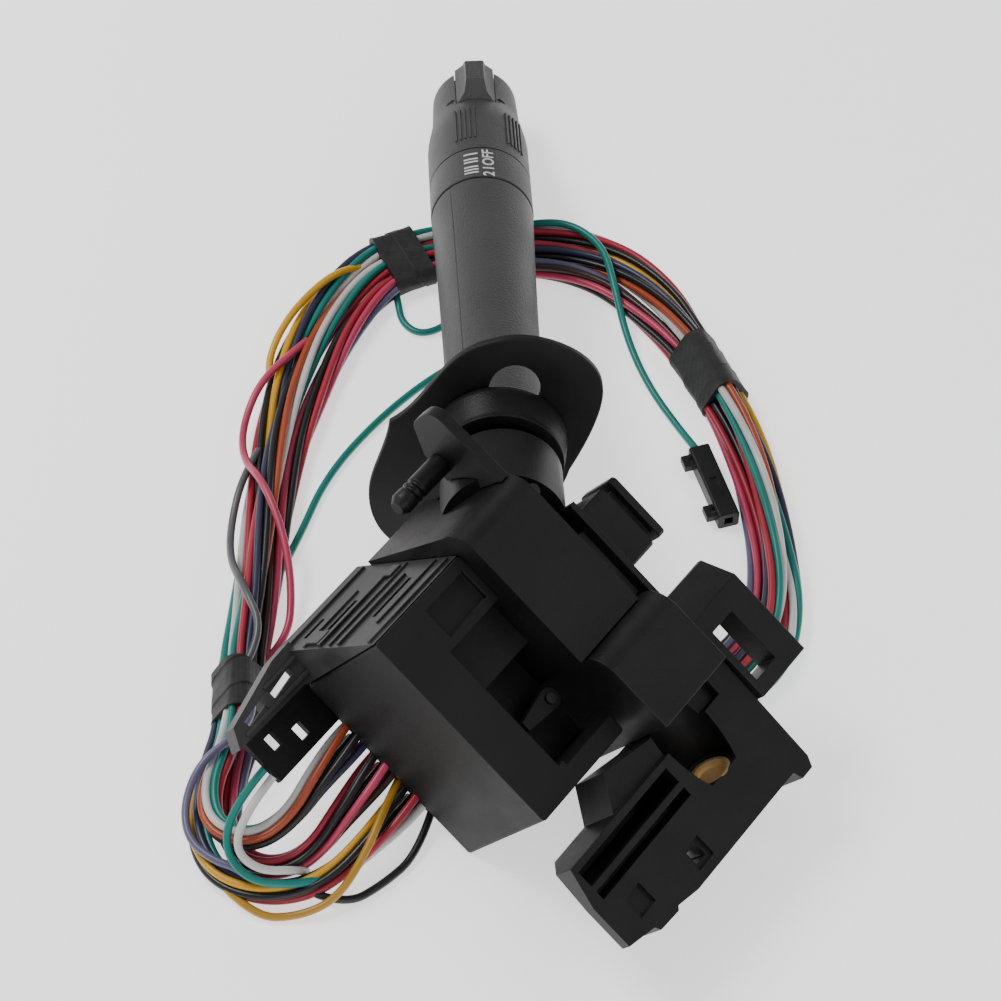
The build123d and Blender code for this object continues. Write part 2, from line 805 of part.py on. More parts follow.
pin_reach = sqrt(knob_neck_radius**2 - pin_height**2) - 0.4
with BuildPart() as paddle_pin:
    with BuildSketch(Plane.YZ.offset(-pin_reach)):
        with Locations((pin_height, pin_station)):
            Circle(paddle_pin_radius)
    extrude(amount=2 * pin_reach)
finish(paddle_pin.part, "paddle_pin", on_stalk)

# Side cover: a slanted wall with a floor and two ends, and a long tongue past the case's end
cover_top = -0.6
lean_x = cover_slant / (case_height + cover_top)
inner_drop = cover_wall * sqrt(1 + lean_x**2) / lean_x
with BuildPart() as side_cover:
    with BuildSketch(crosswise(0)):
        with BuildLine():
            Polyline((-seat, cover_top), (-seat - cover_slant, -case_height), (-seat, -case_height), close=True)
        make_face()
    extrude(amount=-(case_width - seat))
    with BuildSketch(crosswise(cover_wall)):
        with BuildLine():
            Polyline(
                (-seat, cover_top - inner_drop),
                (-seat - cover_slant + inner_drop * lean_x + cover_wall * lean_x, -case_height + cover_wall),
                (-seat, -case_height + cover_wall),
                close=True,
            )
        make_face()
    extrude(amount=-(case_width - seat - 2 * cover_wall), mode=Mode.SUBTRACT)
    with BuildSketch(Plane.XY.offset(-case_height)):
        with BuildLine():
            Polyline(
                (-seat - cover_slant, 2.0),
                (-cover_slant, -5.5),
                (-7.4, 3.0 - tongue_length),
                (-2.0, -tongue_length),
                (-1.4, 2.0),
                close=True,
            )
        make_face()
    extrude(amount=tongue_height)
    with BuildSketch(Plane.XY.offset(-case_height)):
        with BuildLine():
            Polyline((-9.6, -2.0), (-6.0, 4.0 - tongue_length), (-3.4, 4.0 - tongue_length), (-3.2, -2.0), close=True)
        make_face()
    extrude(amount=tongue_height - 1.8, mode=Mode.SUBTRACT)
    # Latch slots through the tongue's top and down the slanted wall
    with BuildSketch(Plane.XY.offset(-case_height)):
        for slot_y, slot_length in ((-8.0, 9.0), (-19.5, 8.0)):
            with Locations(Location((-6.4 - 0.1 * slot_y / 4, slot_y), 8)):
                Rectangle(2.0, slot_length)
    extrude(amount=tongue_height + 1.0, mode=Mode.SUBTRACT)
    slanted = Plane(origin=(-seat, 0, cover_top), x_dir=(0, 1, 0), z_dir=(-1, 0, lean_x))
    with BuildSketch(slanted.offset(-cover_wall - 1.0)):
        for slot_x, slot_y, slot_length in ((14.0, 30.0, 12.0), (20.0, 13.0, 16.0), (9.0, 38.0, 8.0)):
            with Locations((slot_x, slot_y)):
                Rectangle(slot_length, 1.6)
    extrude(amount=cover_wall + 2.0, mode=Mode.SUBTRACT)
finish(side_cover.part, "side_cover", on_body)

# Bracket's knuckle, beside the pivot housing: rounded over its left edge and hollow from below
bush_way = Vector(-sin(radians(bush_lean)), 0, cos(radians(bush_lean)))
bush_plane = Plane(origin=bush_at, x_dir=(0, 1, 0), z_dir=bush_way)
knuckle_left = housing_length + seat
knuckle_right = knuckle_left + knuckle_length
knuckle_wall = 2.6
with BuildPart() as bracket_knuckle:
    with BuildSketch(crosswise(knuckle_front)):
        with Locations((knuckle_left, -knuckle_drop)):
            Rectangle(knuckle_length, knuckle_drop + knuckle_rise, align=Align.MIN)
    extrude(amount=-knuckle_depth)
    curved_front = bracket_knuckle.edges().filter_by(Axis.Y).group_by(Axis.Z)[-1].sort_by(Axis.X)[0]
    fillet(curved_front, knuckle_round)
    with BuildSketch(Plane.XY.offset(-knuckle_drop)):
        with Locations((knuckle_left + knuckle_wall, knuckle_front + knuckle_wall)):
            Rectangle(knuckle_length - 2 * knuckle_wall, knuckle_depth - 2 * knuckle_wall, align=Align.MIN)
    extrude(amount=knuckle_drop + knuckle_rise - knuckle_round - 1.0, mode=Mode.SUBTRACT)
finish(bracket_knuckle.part, "bracket_knuckle", on_body)

# Mounting bracket: a neck beside the knuckle, and the channel with its ribs
with BuildPart() as mount_bracket:
    with BuildSketch(Plane.XY.offset(-channel_drop)):
        with BuildLine():
            Polyline(
                (knuckle_right + seat, neck_back),
                (channel_left + 2.0, neck_back),
                (channel_left + 2.0, neck_front - 2.0),
                (knuckle_right - 3.0, neck_front + 6.0),
                (knuckle_right + seat, knuckle_front - 2.0),
                close=True,
            )
        make_face()
    extrude(amount=channel_drop + neck_top)
    with BuildSketch(Plane.XY.offset(-channel_drop)):
        with BuildLine():
            Polyline(
                (channel_left, channel_front + 3.0),
                (channel_left + 11.5, channel_front),
                (channel_right - 4.5, channel_front),
                (channel_right - 2.6, channel_front + 9.0),
                (channel_right - 0.8, channel_front + 10.0),
                (channel_right - 0.4, channel_front + 17.5),
                (channel_right - 1.4, channel_front + 18.5),
                (channel_right, channel_front + 26.0),
                (channel_right, channel_back - 7.0),
                (channel_right + 3.0, channel_back - 6.0),
                (channel_right + 3.0, channel_back - 1.5),
                (channel_right, channel_back),
                (channel_left - 5.6, channel_back + 1.0),
                (channel_left - 5.6, neck_back),
                (channel_left, neck_back),
                close=True,
            )
        make_face()
    extrude(amount=channel_drop + channel_top)
    # The front end is undercut, so that it is thin at its lip
    with BuildSketch(Plane.YZ.offset(channel_left - 8.0)):
        with BuildLine():
            Polyline(
                (channel_front - 1.0, channel_top - channel_lip),
                (channel_front, channel_top - channel_lip),
                (channel_front + channel_undercut, -channel_drop - 0.1),
                (channel_front - 1.0, -channel_drop - 0.1),
                close=True,
            )
        make_face()
    extrude(amount=channel_right - channel_left + 12.0, mode=Mode.SUBTRACT)
    # Two grooves along the channel leave a rib between them
    groove_left = channel_left + 2.0
    second_left = groove_left + groove_width + channel_rib
    plate_left = second_left + second_groove + channel_rib
    with BuildSketch(Plane.XY.offset(channel_top)):
        with Locations((groove_left, channel_front + 4.0)):
            Rectangle(groove_width, bush_at.Y - channel_front - 16.0, align=Align.MIN)
    extrude(amount=-(channel_top + channel_drop - plate_thickness), mode=Mode.SUBTRACT)
    with BuildSketch(Plane.XY.offset(channel_top)):
        with Locations((second_left, channel_front + 4.0)):
            Rectangle(second_groove, bush_at.Y - channel_front - 16.0, align=Align.MIN)
    extrude(amount=-8.0, mode=Mode.SUBTRACT)
    # Ribbed hollows below, in front of the bush's seat and behind it
    front_middle = (channel_front + channel_undercut + bush_at.Y - 9.0) / 2
    back_middle = (bush_at.Y + 9.0 + channel_back - 2.4) / 2
    plate_middle = (plate_left + channel_right - 4.6) / 2
    with BuildSketch(Plane.XY.offset(-channel_drop)):
        with Locations((plate_middle, front_middle)):
            with GridLocations(hollow_width + channel_rib, hollow_length + channel_rib, 2, 3):
                Rectangle(hollow_width, hollow_length)
        with Locations((plate_middle - 2.0, back_middle)):
            with GridLocations(hollow_width + channel_rib, hollow_length, 3, 1):
                Rectangle(hollow_width, hollow_length)
    extrude(amount=channel_drop + channel_top - plate_thickness, mode=Mode.SUBTRACT)
    # Square holes: the upper one goes through, the lower one is a seat only
    with BuildSketch(Plane.XY.offset(channel_top)):
        with Locations((channel_right - 6.2, 22.4), (channel_right - 10.2, 0.4)):
            Rectangle(square_seat, square_seat)
    extrude(amount=-1.4, mode=Mode.SUBTRACT)
    with BuildSketch(Plane.XY.offset(channel_top)):
        with Locations((channel_right - 6.2, 22.4)):
            Rectangle(square_hole, square_hole)
    extrude(amount=-(channel_top + channel_drop + 1.0), mode=Mode.SUBTRACT)
    # The bush's seat, and the slanted pocket in front of it
    with BuildSketch(bush_plane):
        Circle(bush_radius + 0.4)
    extrude(amount=pocket_length, mode=Mode.SUBTRACT)
    with BuildSketch(bush_plane.offset(pocket_lift)):
        Circle(pocket_radius)
    extrude(amount=pocket_length, mode=Mode.SUBTRACT)
    with BuildSketch(bush_plane):
        Circle(bush_radius)
    extrude(amount=-bush_length, mode=Mode.SUBTRACT)
    with BuildSketch(bush_plane):
        Circle(bush_bore + 0.4)
    extrude(amount=-30.0, mode=Mode.SUBTRACT)
finish(mount_bracket.part, "mount_bracket", on_body)

# Brass bush, pressed into the bracket
with BuildPart() as column_bush:
    with BuildSketch(bush_plane):
        Circle(bush_radius)
        Circle(bush_bore, mode=Mode.SUBTRACT)
    extrude(amount=-bush_length)
    with BuildSketch(bush_plane):
        Circle(bush_face_bore)
    extrude(amount=-1.6, mode=Mode.SUBTRACT)
finish(column_bush.part, "column_bush", on_body)

# Hook: a loop that keeps the wires, with a sloping shoulder
hook_front = knuckle_front + knuckle_depth + seat
with BuildPart() as wire_hook:
    with BuildSketch(crosswise(hook_front)):
        with BuildLine():
            Polyline(
                (hook_left + hook_slope, hook_top),
                (hook_right, hook_top),
                (hook_right, hook_bottom),
                (hook_left, hook_bottom),
                (hook_left, hook_top - hook_slope),
                close=True,
            )
        make_face()
    extrude(amount=-hook_depth)
    with BuildSketch(Plane.XY.offset(hook_bottom)):
        with Locations((window_left, hook_front + window_inset)):
            Rectangle(window_length, window_width, align=Align.MIN)
        with BuildLine():
            Polyline(
                (channel_left - 7.0, hook_front - 1.0),
                (hook_right + 1.0, hook_front - 1.0),
                (hook_right + 1.0, channel_back + 1.0 + seat),
                (channel_left - 7.0, channel_back + 1.0 + seat),
                close=True,
            )
        make_face()
    extrude(amount=hook_top - hook_bottom, mode=Mode.SUBTRACT)
finish(wire_hook.part, "wire_hook", on_body)

# Rails: two plates on edge behind the pivot housing, with a spacer between them
rail_front = housing_back + seat
rail_right = hook_left - seat

with BuildPart() as socket_room:
    with BuildSketch(stalk.offset(-boss_back)):
        Circle(boss_radius + seat)
    extrude(amount=boss_back + boss_front + 4.0)
    with Locations(pivot):
        Sphere(boss_radius + seat)

with BuildPart() as rail_inner:
    with BuildSketch(crosswise(rail_front)):
        with Locations((rail_left - 1.0, -rail_drop)):
            Rectangle(knuckle_left - rail_left + 1.0 - seat, rail_drop + 4.5, align=Align.MIN)
    extrude(amount=-rail_thickness)
    add(socket_room.part, mode=Mode.SUBTRACT)
finish(rail_inner.part, "rail_inner", on_body)

with BuildPart() as rail_spacer:
    with BuildSketch(crosswise(rail_front + rail_thickness)):
        with Locations((rail_left + 8.0, -rail_drop)):
            Rectangle(knuckle_left - rail_left - 8.0 - seat, rail_drop + 1.0, align=Align.MIN)
    extrude(amount=-rail_gap)
    add(socket_room.part, mode=Mode.SUBTRACT)
finish(rail_spacer.part, "rail_spacer", on_body)

outer_front = rail_front + rail_thickness + rail_gap
with BuildPart() as rail_outer:
    with BuildSketch(crosswise(outer_front)):
        with Locations((rail_left, -rail_drop)):
            Rectangle(rail_right - rail_left, rail_drop + 5.5, align=Align.MIN)
    extrude(amount=-rail_thickness)
    add(socket_room.part, mode=Mode.SUBTRACT)
finish(rail_outer.part, "rail_outer", on_body)

# Hazard button: a square box on the outer rail, and a flanged button that slides in it
hazard_front = outer_front + rail_thickness + seat
hazard_back = hazard_front + hazard_depth
hazard_middle = (hazard_left + hazard_length / 2, hazard_top - hazard_height / 2)
stem_x = hazard_length - 2 * hazard_wall - 2 * snug
stem_z = hazard_height - 2 * hazard_wall - 2 * snug
stem_length = 10.0
spring_hole = 3.6
with BuildPart() as hazard_housing:
    with BuildSketch(crosswise(hazard_front)):
        with Locations(hazard_middle):
            RectangleRounded(hazard_length, hazard_height, 1.5)
    extrude(amount=-hazard_depth)
    with BuildSketch(crosswise(hazard_front + hazard_wall)):
        with Locations(hazard_middle):
            Rectangle(hazard_length - 2 * hazard_wall, hazard_height - 2 * hazard_wall)
    extrude(amount=-hazard_depth, mode=Mode.SUBTRACT)
    add(socket_room.part, mode=Mode.SUBTRACT)
finish(hazard_housing.part, "hazard_housing", on_body)

flange_front = hazard_back + hazard_travel + 0.2
with BuildPart() as hazard_button:
    with BuildSketch(crosswise(flange_front)):
        with Locations(hazard_middle):
            RectangleRounded(hazard_length, hazard_height, 1.5)
    extrude(amount=-button_flange)
    with BuildSketch(crosswise(flange_front)):
        with Locations(hazard_middle):
            Rectangle(stem_x, stem_z)
    extrude(amount=stem_length)
    with BuildSketch(crosswise(flange_front - stem_length)):
        with Locations(hazard_middle):
            Circle(spring_hole)
    extrude(amount=-(stem_length - 2.0), mode=Mode.SUBTRACT)
finish(hazard_button.part, "hazard_button", on_body)

button_spring_length = flange_front - 2.0 - hazard_front - hazard_wall - spring_wire - 2 * snug
button_spring = spring_coil(spring_hole - 0.8, button_spring_length, 2.2)
button_spring_seat = Plane(
    origin=(hazard_middle[0], hazard_front + hazard_wall + spring_wire / 2 + snug, hazard_middle[1]),
    x_dir=(1, 0, 0),
    z_dir=(0, 1, 0),
)
finish(button_spring, "hazard_spring", on_body * button_spring_seat.location)

# Cancelling pawl, on a pin that stands in the deep recess
pawl_bottom = -deep_depth + 6.0
with BuildPart() as cancel_pawl:
    with BuildSketch(Plane.XY.offset(pawl_bottom)):
        Circle(pawl_hub)
        with BuildLine():
            Polyline((-pawl_hub, 0), (-1.2, -pawl_arm), (1.6, -pawl_arm), (pawl_hub, 0), close=True)
        make_face()
        Circle(pawl_pin_radius + slip, mode=Mode.SUBTRACT)
    extrude(amount=pawl_thickness)
pawl_place = Location((pawl_x, pawl_y, 0))
finish(cancel_pawl.part, "cancel_pawl", on_body * pawl_place)

with BuildPart() as pawl_pin:
    with BuildSketch(Plane.XY.offset(-deep_depth)):
        Circle(pawl_pin_radius + 1.2)
    extrude(amount=6.0 - seat)
    with BuildSketch(Plane.XY.offset(-deep_depth)):
        Circle(pawl_pin_radius)
    extrude(amount=6.0 + pawl_thickness + 1.0)
finish(pawl_pin.part, "pawl_pin", on_body * pawl_place)

# Wiring harness: the middle lines of its cords as they lie on the bench
cord_routes = {
    "harness_outer": [
        (-28.6, -100.3, 8.6), (-38.2, -111.8, 7.8), (-54.5, -125.2, 3.55), (-70, -127.6, 3.55),
        (-83.3, -120.7, 3.55), (-88.6, -105.9, 3.55), (-85.5, -87.9, 3.55), (-80.4, -73.4, 4.2),
        (-80, -54.8, 4.2), (-76.2, -32.9, 3.55), (-72.8, -0.9, 3.55), (-69.8, 27.5, 3.55),
        (-65.3, 52.6, 3.55), (-56.3, 78, 3.55), (-39.8, 100.5, 4.3), (-17.4, 109.6, 3.55),
        (17.3, 109.3, 3.55), (40.2, 100.6, 3.55), (55, 82.7, 3.7), (62.5, 61.1, 4.2),
        (72.7, 35.2, 4.2), (78.6, 9.1, 3.55), (80.6, -17.3, 3.55), (81.3, -39.5, 3.55),
        (75.1, -60.1, 3.55), (57.8, -73.2, 3.55), (45.3, -75, 3.55),
    ],
    "harness_inner": [
        (-36.5, -93.9, 15), (-45.6, -105, 13.4), (-58.3, -117.2, 3.55), (-71.4, -119.8, 3.55),
        (-79.9, -110, 3.55), (-78.5, -93.4, 3.55), (-73.1, -75.4, 4.2), (-73, -56, 4.2),
        (-69, -33.9, 3.55), (-65.2, -1.9, 3.55), (-60.2, 25.7, 3.55), (-52.7, 48.6, 3.55),
        (-43.7, 71.2, 3.55), (-30.6, 88.7, 4.3), (-14.6, 95.4, 3.55), (14.7, 95.1, 3.55),
        (31.8, 88.6, 3.55), (44, 75.5, 3.7), (55.5, 58.1, 4.2), (65.9, 33, 4.2), (71.4, 8.1, 3.55),
        (73.4, -17.5, 3.55), (70.7, -37.3, 3.55), (63.9, -51.7, 3.55), (52.2, -59.6, 3.55),
        (43.3, -60.8, 3.55),
    ],
    "harness_top": [
        (-43.8, -88, 20.8), (-53, -99.3, 20.4), (-62.2, -110.2, 13.6), (-73, -115.4, 10.9),
        (-83.2, -110, 10.8), (-84.6, -97.6, 10.7), (-79.3, -84.4, 10.7), (-76.6, -70.4, 10.5),
        (-76.5, -55.4, 10.4), (-72.6, -33.4, 9.75), (-69, -1.4, 9.7), (-65, 26.6, 8.8), (-59, 50.6, 6.6),
        (-50, 74.6, 3.6), (-35.2, 94.6, 4.3), (-16, 102.5, 3.56), (16, 102.2, 3.56), (36, 94.6, 3.8),
        (49.5, 79.1, 7.1), (59, 59.6, 10.35), (69.3, 34.1, 10.35), (75, 8.6, 9.75), (77, -17.4, 9.75),
        (76, -38.4, 8.4), (69.5, -55.9, 6.3), (55, -66.4, 3.6), (44.3, -67.9, 3.55),
    ],
    "lead_wire": [
        (16.5, 109.2, 8.3), (27, 107.1, 8.6), (35.5, 96.1, 9.8), (37.8, 80.6, 9.2), (40.5, 64.6, 3.2),
        (46, 46.6, 1.3), (54.5, 28.6, 1.4), (58.6, 19.6, 3.2),
    ],
    "lavender_wire": [
        (-71.6, -73.6, 12.2), (-76.5, -83.9, 16), (-86.5, -91.4, 14.8), (-91.2, -101.9, 10.4),
        (-90, -112.4, 8.7), (-83, -119.2, 8.6), (-76.8, -121.8, 8.8),
    ],
    "ochre_wire": [
        (-32.6, -97.1, 11.8), (-37, -108.4, 14.2), (-42.3, -120.4, 11), (-50.5, -130.4, 4.5),
        (-61, -133.3, 1.4), (-72.5, -133, 1.4),
    ],
    "black_wire": [
        (-24.3, -103.8, 4.6), (-28.5, -115.4, 1.6), (-38, -124.2, 1.3), (-48, -130.2, 1.3),
    ],
    "pink_wire": [
        (-60, 59.6, 8.6), (-70.5, 48.6, 8), (-76, 34.6, 4), (-75.6, 19.6, 6.6), (-69.3, 4.6, 15.6),
        (-63.6, -11.4, 11.6), (-61.5, -27.4, 6), (-63, -42.4, 1.6),
    ],
    "grey_wire": [
        (-75.6, 11.6, 9.4), (-79.2, -3.4, 5.4), (-79.2, -18.4, 8), (-74.6, -33.4, 15.4), (-69.2, -47.4, 13.2),
    ],
    "yellow_wire": [
        (-46.5, 91.6, 8.6), (-57.5, 80.1, 8.4), (-65, 68.6, 6.6), (-69, 57.1, 3),
    ],
    "teal_wire": [
        (-61.6, -7.4, 1.3), (-51.5, 16.6, 1.3), (-35, 38.6, 1.3), (-16, 56.1, 1.3), (2, 65.1, 1.3),
        (9.5, 74.6, 1.3), (3, 83.6, 1.3), (-8.5, 80.1, 1.3), (-15.5, 72.6, 1.3), (-22.5, 70.6, 1.3),
        (-27.5, 75.6, 1.3), (-28.4, 83.1, 1.3),
    ],
    "loop_wire_grey": [
        (-66.2, -104, 25.2), (-73.5, -111.7, 21), (-77.3, -119.9, 15.5), (-71, -125.4, 12.4),
        (-60, -123.8, 9.6),
    ],
    "loop_wire_teal": [
        (-68.5, -102.3, 26.4), (-76.2, -109.2, 21.6), (-80.3, -118.4, 14.5), (-74.5, -126.2, 9.6),
        (-62, -128, 8.3),
    ],
}
bundle_radius = 3.45
wire_radius = 1.15
bundles = ["harness_outer", "harness_inner", "harness_top"]


def bends(points):
    """The largest arcs that leave a straight piece in every run: one radius for each corner."""
    corners = []
    for before, corner, after in zip(points[:-2], points[1:-1], points[2:]):
        into = Vector(*corner) - Vector(*before)
        out = Vector(*after) - Vector(*corner)
        half_turn = radians(into.get_angle(out)) / 2
        corners.append(0.45 * min(into.length, out.length) / tan(half_turn))
    return corners


def cord_tube(points, radius):
    """A round tube along a cord's middle line."""
    with BuildPart() as tube:
        with BuildLine() as middle:
            FilletPolyline(*points, radius=bends(points))
        with BuildSketch(Plane(origin=middle.line @ 0, z_dir=middle.line % 0)):
            Circle(radius)
        sweep()
    return tube.part


for name, points in cord_routes.items():
    radius = bundle_radius if name in bundles else wire_radius
    tube = cord_tube(points, radius)
    finish(tube, name, Location())
    length = tube.volume / (pi * radius**2)
    print(name, "length", round(length, 1), "radii", [round(bend) for bend in bends(points)])

# Tape wraps: two where the bundles are heaped, one where they lie flat
tape_wall = 0.6
heap_width = 4 * bundle_radius + 2 * tape_wall + 0.6
heap_height = 3.73 * bundle_radius + 2 * tape_wall + 0.9
flat_width = 6 * bundle_radius + 2 * tape_wall + 1.2
flat_height = 2 * bundle_radius + 2 * tape_wall + 0.6
tapes = {
    "tape_left": (Vector(-76.6, -72.4, 0.05), Vector(-76.6, -55.9, 0.05), True),
    "tape_top": (Vector(-32.5, 95.8, 0.05), Vector(-20.5, 100.6, 0.05), False),
    "tape_right": (Vector(60.0, 57.1, 0.05), Vector(68.2, 36.8, 0.05), True),
}
with BuildPart() as bundle_room:
    for name in bundles:
        add(cord_tube(cord_routes[name], bundle_radius + 0.02))
for name, (start, end, heaped) in tapes.items():
    along = end - start
    across = Plane(origin=start, x_dir=Vector(0, 0, 1).cross(along), z_dir=along)
    with BuildPart() as tape:
        with BuildSketch(across):
            if heaped:
                with BuildLine():
                    Polyline(
                        (-heap_width / 2, 0),
                        (heap_width / 2, 0),
                        (heap_width / 2, bundle_radius * 1.8),
                        (bundle_radius, heap_height),
                        (-bundle_radius, heap_height),
                        (-heap_width / 2, bundle_radius * 1.8),
                        close=True,
                    )
                section = make_face()
                fillet(section.vertices(), 2.2)
            else:
                with Locations((0, flat_height / 2)):
                    RectangleRounded(flat_width, flat_height, bundle_radius)
        extrude(amount=along.length)
        add(bundle_room.part, mode=Mode.SUBTRACT)
    finish(tape.part, name, Location())

# Connector at the harness's end: a block with a collar, a lock and rows of terminal cells
connector_width = 23.0
connector_height = 9.2
connector_length = 24.0
connector_way = Vector(-0.990, -0.139, 0)
connector_back = Plane(
    origin=Vector(44.2, -67.9, connector_height / 2 + 0.3) + connector_way * seat,
    x_dir=Vector(0, 0, 1).cross(connector_way),
    z_dir=connector_way,
)
with BuildPart() as main_connector:
    with BuildSketch(connector_back):
        RectangleRounded(connector_width - 2.0, connector_height - 0.6, 1.6)
    extrude(amount=connector_length)
    with BuildSketch(connector_back.offset(5.0)):
        RectangleRounded(connector_width, connector_height, 1.2)
    extrude(amount=2.0)
    with BuildSketch(connector_back.offset(9.0)):
        with Locations((0, connector_height / 2)):
            Rectangle(6.0, 1.4)
    extrude(amount=11.0)
    with BuildSketch(connector_back.offset(connector_length)):
        with GridLocations(2.6, 3.6, 7, 2):
            Rectangle(1.5, 1.5)
    extrude(amount=-6.0, mode=Mode.SUBTRACT)
finish(main_connector.part, "main_connector", Location())

# Small connector on the lead: a slim body with two latch tabs
lead_width = 6.4
lead_height = 6.0
lead_length = 27.0
lead_way = Vector(0.25, -0.968, 0)
lead_back = Plane(
    origin=Vector(58.7, 19.4, lead_height / 2 + 0.3),
    x_dir=Vector(0, 0, 1).cross(lead_way),
    z_dir=lead_way,
)
with BuildPart() as lead_connector:
    with BuildSketch(lead_back):
        RectangleRounded(lead_width, lead_height, 0.8)
    extrude(amount=lead_length)
    for station in (1.5, lead_length - 6.0):
        with BuildSketch(lead_back.offset(station)):
            with Locations((-lead_width / 2 - 1.2, 0.6)):
                Rectangle(3.6, 2.4)
        extrude(amount=4.4)
        with BuildSketch(lead_back.offset(station + 1.4)):
            with Locations((-lead_width / 2 - 0.6, 0.6)):
                Rectangle(1.2, 2.4)
        extrude(amount=1.6, mode=Mode.SUBTRACT)
    with BuildSketch(lead_back.offset(lead_length)):
        Rectangle(2.6, 2.6)
    extrude(amount=-8.0, mode=Mode.SUBTRACT)
    with BuildSketch(lead_back.offset(lead_length / 2 - 1.0)):
        with Locations((0, lead_height / 2)):
            Rectangle(2.0, 1.2)
    extrude(amount=7.0, mode=Mode.SUBTRACT)
finish(lead_connector.part, "lead_connector", Location())
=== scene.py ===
# %% [markdown]
# A stalk switch for a steering column lies on a pale bench. A grey lever comes out of a black switch
# body, a leaf-shaped shield stands behind the lever's grip, and a loop of coloured wires runs round
# it all. The solid parts come from the engineering model. This lesson gives them their surfaces, and
# makes the pieces whose fine shape matters: the grip, the wires, the tape, the rails and the marks.

# %% Load the frame
import json

import bmesh
import bpy
import numpy as np
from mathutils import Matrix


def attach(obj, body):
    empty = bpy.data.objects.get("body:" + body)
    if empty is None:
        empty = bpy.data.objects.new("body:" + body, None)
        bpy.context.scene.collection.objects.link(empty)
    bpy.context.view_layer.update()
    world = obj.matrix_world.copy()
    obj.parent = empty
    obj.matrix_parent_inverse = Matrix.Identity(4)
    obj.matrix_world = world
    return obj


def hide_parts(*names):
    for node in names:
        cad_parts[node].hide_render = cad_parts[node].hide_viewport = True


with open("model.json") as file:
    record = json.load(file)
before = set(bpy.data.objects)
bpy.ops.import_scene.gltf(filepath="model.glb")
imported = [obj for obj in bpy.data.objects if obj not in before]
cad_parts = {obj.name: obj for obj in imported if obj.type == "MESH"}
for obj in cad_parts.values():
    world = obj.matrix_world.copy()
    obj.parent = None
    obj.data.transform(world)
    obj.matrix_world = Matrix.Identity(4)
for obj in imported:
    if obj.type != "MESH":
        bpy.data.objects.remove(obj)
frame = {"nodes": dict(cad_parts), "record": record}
nodes = frame["nodes"]
record = frame["record"]
body_of = {node: body for body, names in record["behaviour"]["bodies"].items() for node in names}
joints = {joint["name"]: joint for joint in record["behaviour"]["joints"]}
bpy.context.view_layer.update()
millimetre = 0.001

# %% [markdown]
# The lever has its own axes, and most of its pieces are round about it. The joints in the record say
# where it swings and which way it points, so every round piece is worked out along that line:
# side points to the left, rise points up out of the lever, and along runs to the knob.

# %% The lever's own axes
pivot = np.array(joints["turn_signal"]["pos_m"])
along = np.array(joints["wiper_turn"]["axis"])
side = np.array([-1.0, 0.0, 0.0])
rise = np.cross(along, side)


def on_lever(left, up, distance):
    """Points near the lever: pivot + left times side + up times rise + distance times along, in mm."""
    left, up, distance = np.broadcast_arrays(left, up, distance)
    offset = left[..., None] * side + up[..., None] * rise + distance[..., None] * along
    return pivot + millimetre * offset


# %% [markdown]
# Grip, tape and strands are grids of points that run round something: the rows follow it, and the
# columns go round. One helper lists the four-sided faces between them, joins the last column to the
# first, as on a pipe, and closes the first and last rows with caps.

# %% Grid to mesh
def linked(name, data):
    """A new object, linked to the scene."""
    piece = bpy.data.objects.new(name, data)
    bpy.context.collection.objects.link(piece)
    return piece


def smooth(mesh, sharp_degrees):
    """Smooth shading, apart from edges that turn by more than an angle."""
    mesh.polygons.foreach_set("use_smooth", np.ones(len(mesh.polygons), dtype=bool))
    mesh.set_sharp_from_angle(angle=np.radians(sharp_degrees))


def tube_faces(rows, columns, first=0):
    """Faces of a closed tube whose points are numbered from first: its sides, then its two caps.

    A side face takes a point, its right neighbour, and the two above them.
    """
    row, column = np.meshgrid(np.arange(rows - 1), np.arange(columns), indexing="ij")
    right = (column + 1) % columns
    here = first + row * columns
    above = here + columns
    sides = np.stack([here + column, here + right, above + right, above + column], axis=-1).reshape(-1, 4)
    last = first + (rows - 1) * columns
    caps = [tuple(range(first, first + columns))[::-1], tuple(range(last, last + columns))]
    return [tuple(face) for face in sides] + caps


def surface(name, grid):
    """A smooth, closed piece from a grid of points, rows by columns by 3."""
    mesh = bpy.data.meshes.new(name)
    mesh.from_pydata(grid.reshape(-1, 3).tolist(), [], tube_faces(*grid.shape[:2]))
    smooth(mesh, 50)
    mesh.update()
    return linked(name, mesh)


def settle(piece, body, material, slot, *replaced):
    """Give a piece its material, let it ride on its body, and let it stand for CAD nodes."""
    if not piece.data.materials:
        piece.data.materials.append(material)
    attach(piece, body)
    if replaced:
        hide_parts(*replaced)
    return piece


# %% [markdown]
# Moulded plastic is never one flat colour. Its tool leaves a fine grain that breaks up the light, the
# sheen changes a little from place to place, and handling rubs it. The same recipe serves every
# plastic here: one noise for the grain, in the bump, and a slower one for the sheen and the tone.

# %% Plastic
noise_low = 0.3
noise_high = 0.7
drift_scale = 60
sheen_swing = 0.07
plastic_specular = 0.28
fine_depth = 0.00002


def blank(name):
    """A material, its node tree and its one shader."""
    material = bpy.data.materials.new(name)
    material.use_nodes = True
    tree = material.node_tree
    return material, tree, tree.nodes["Principled BSDF"]


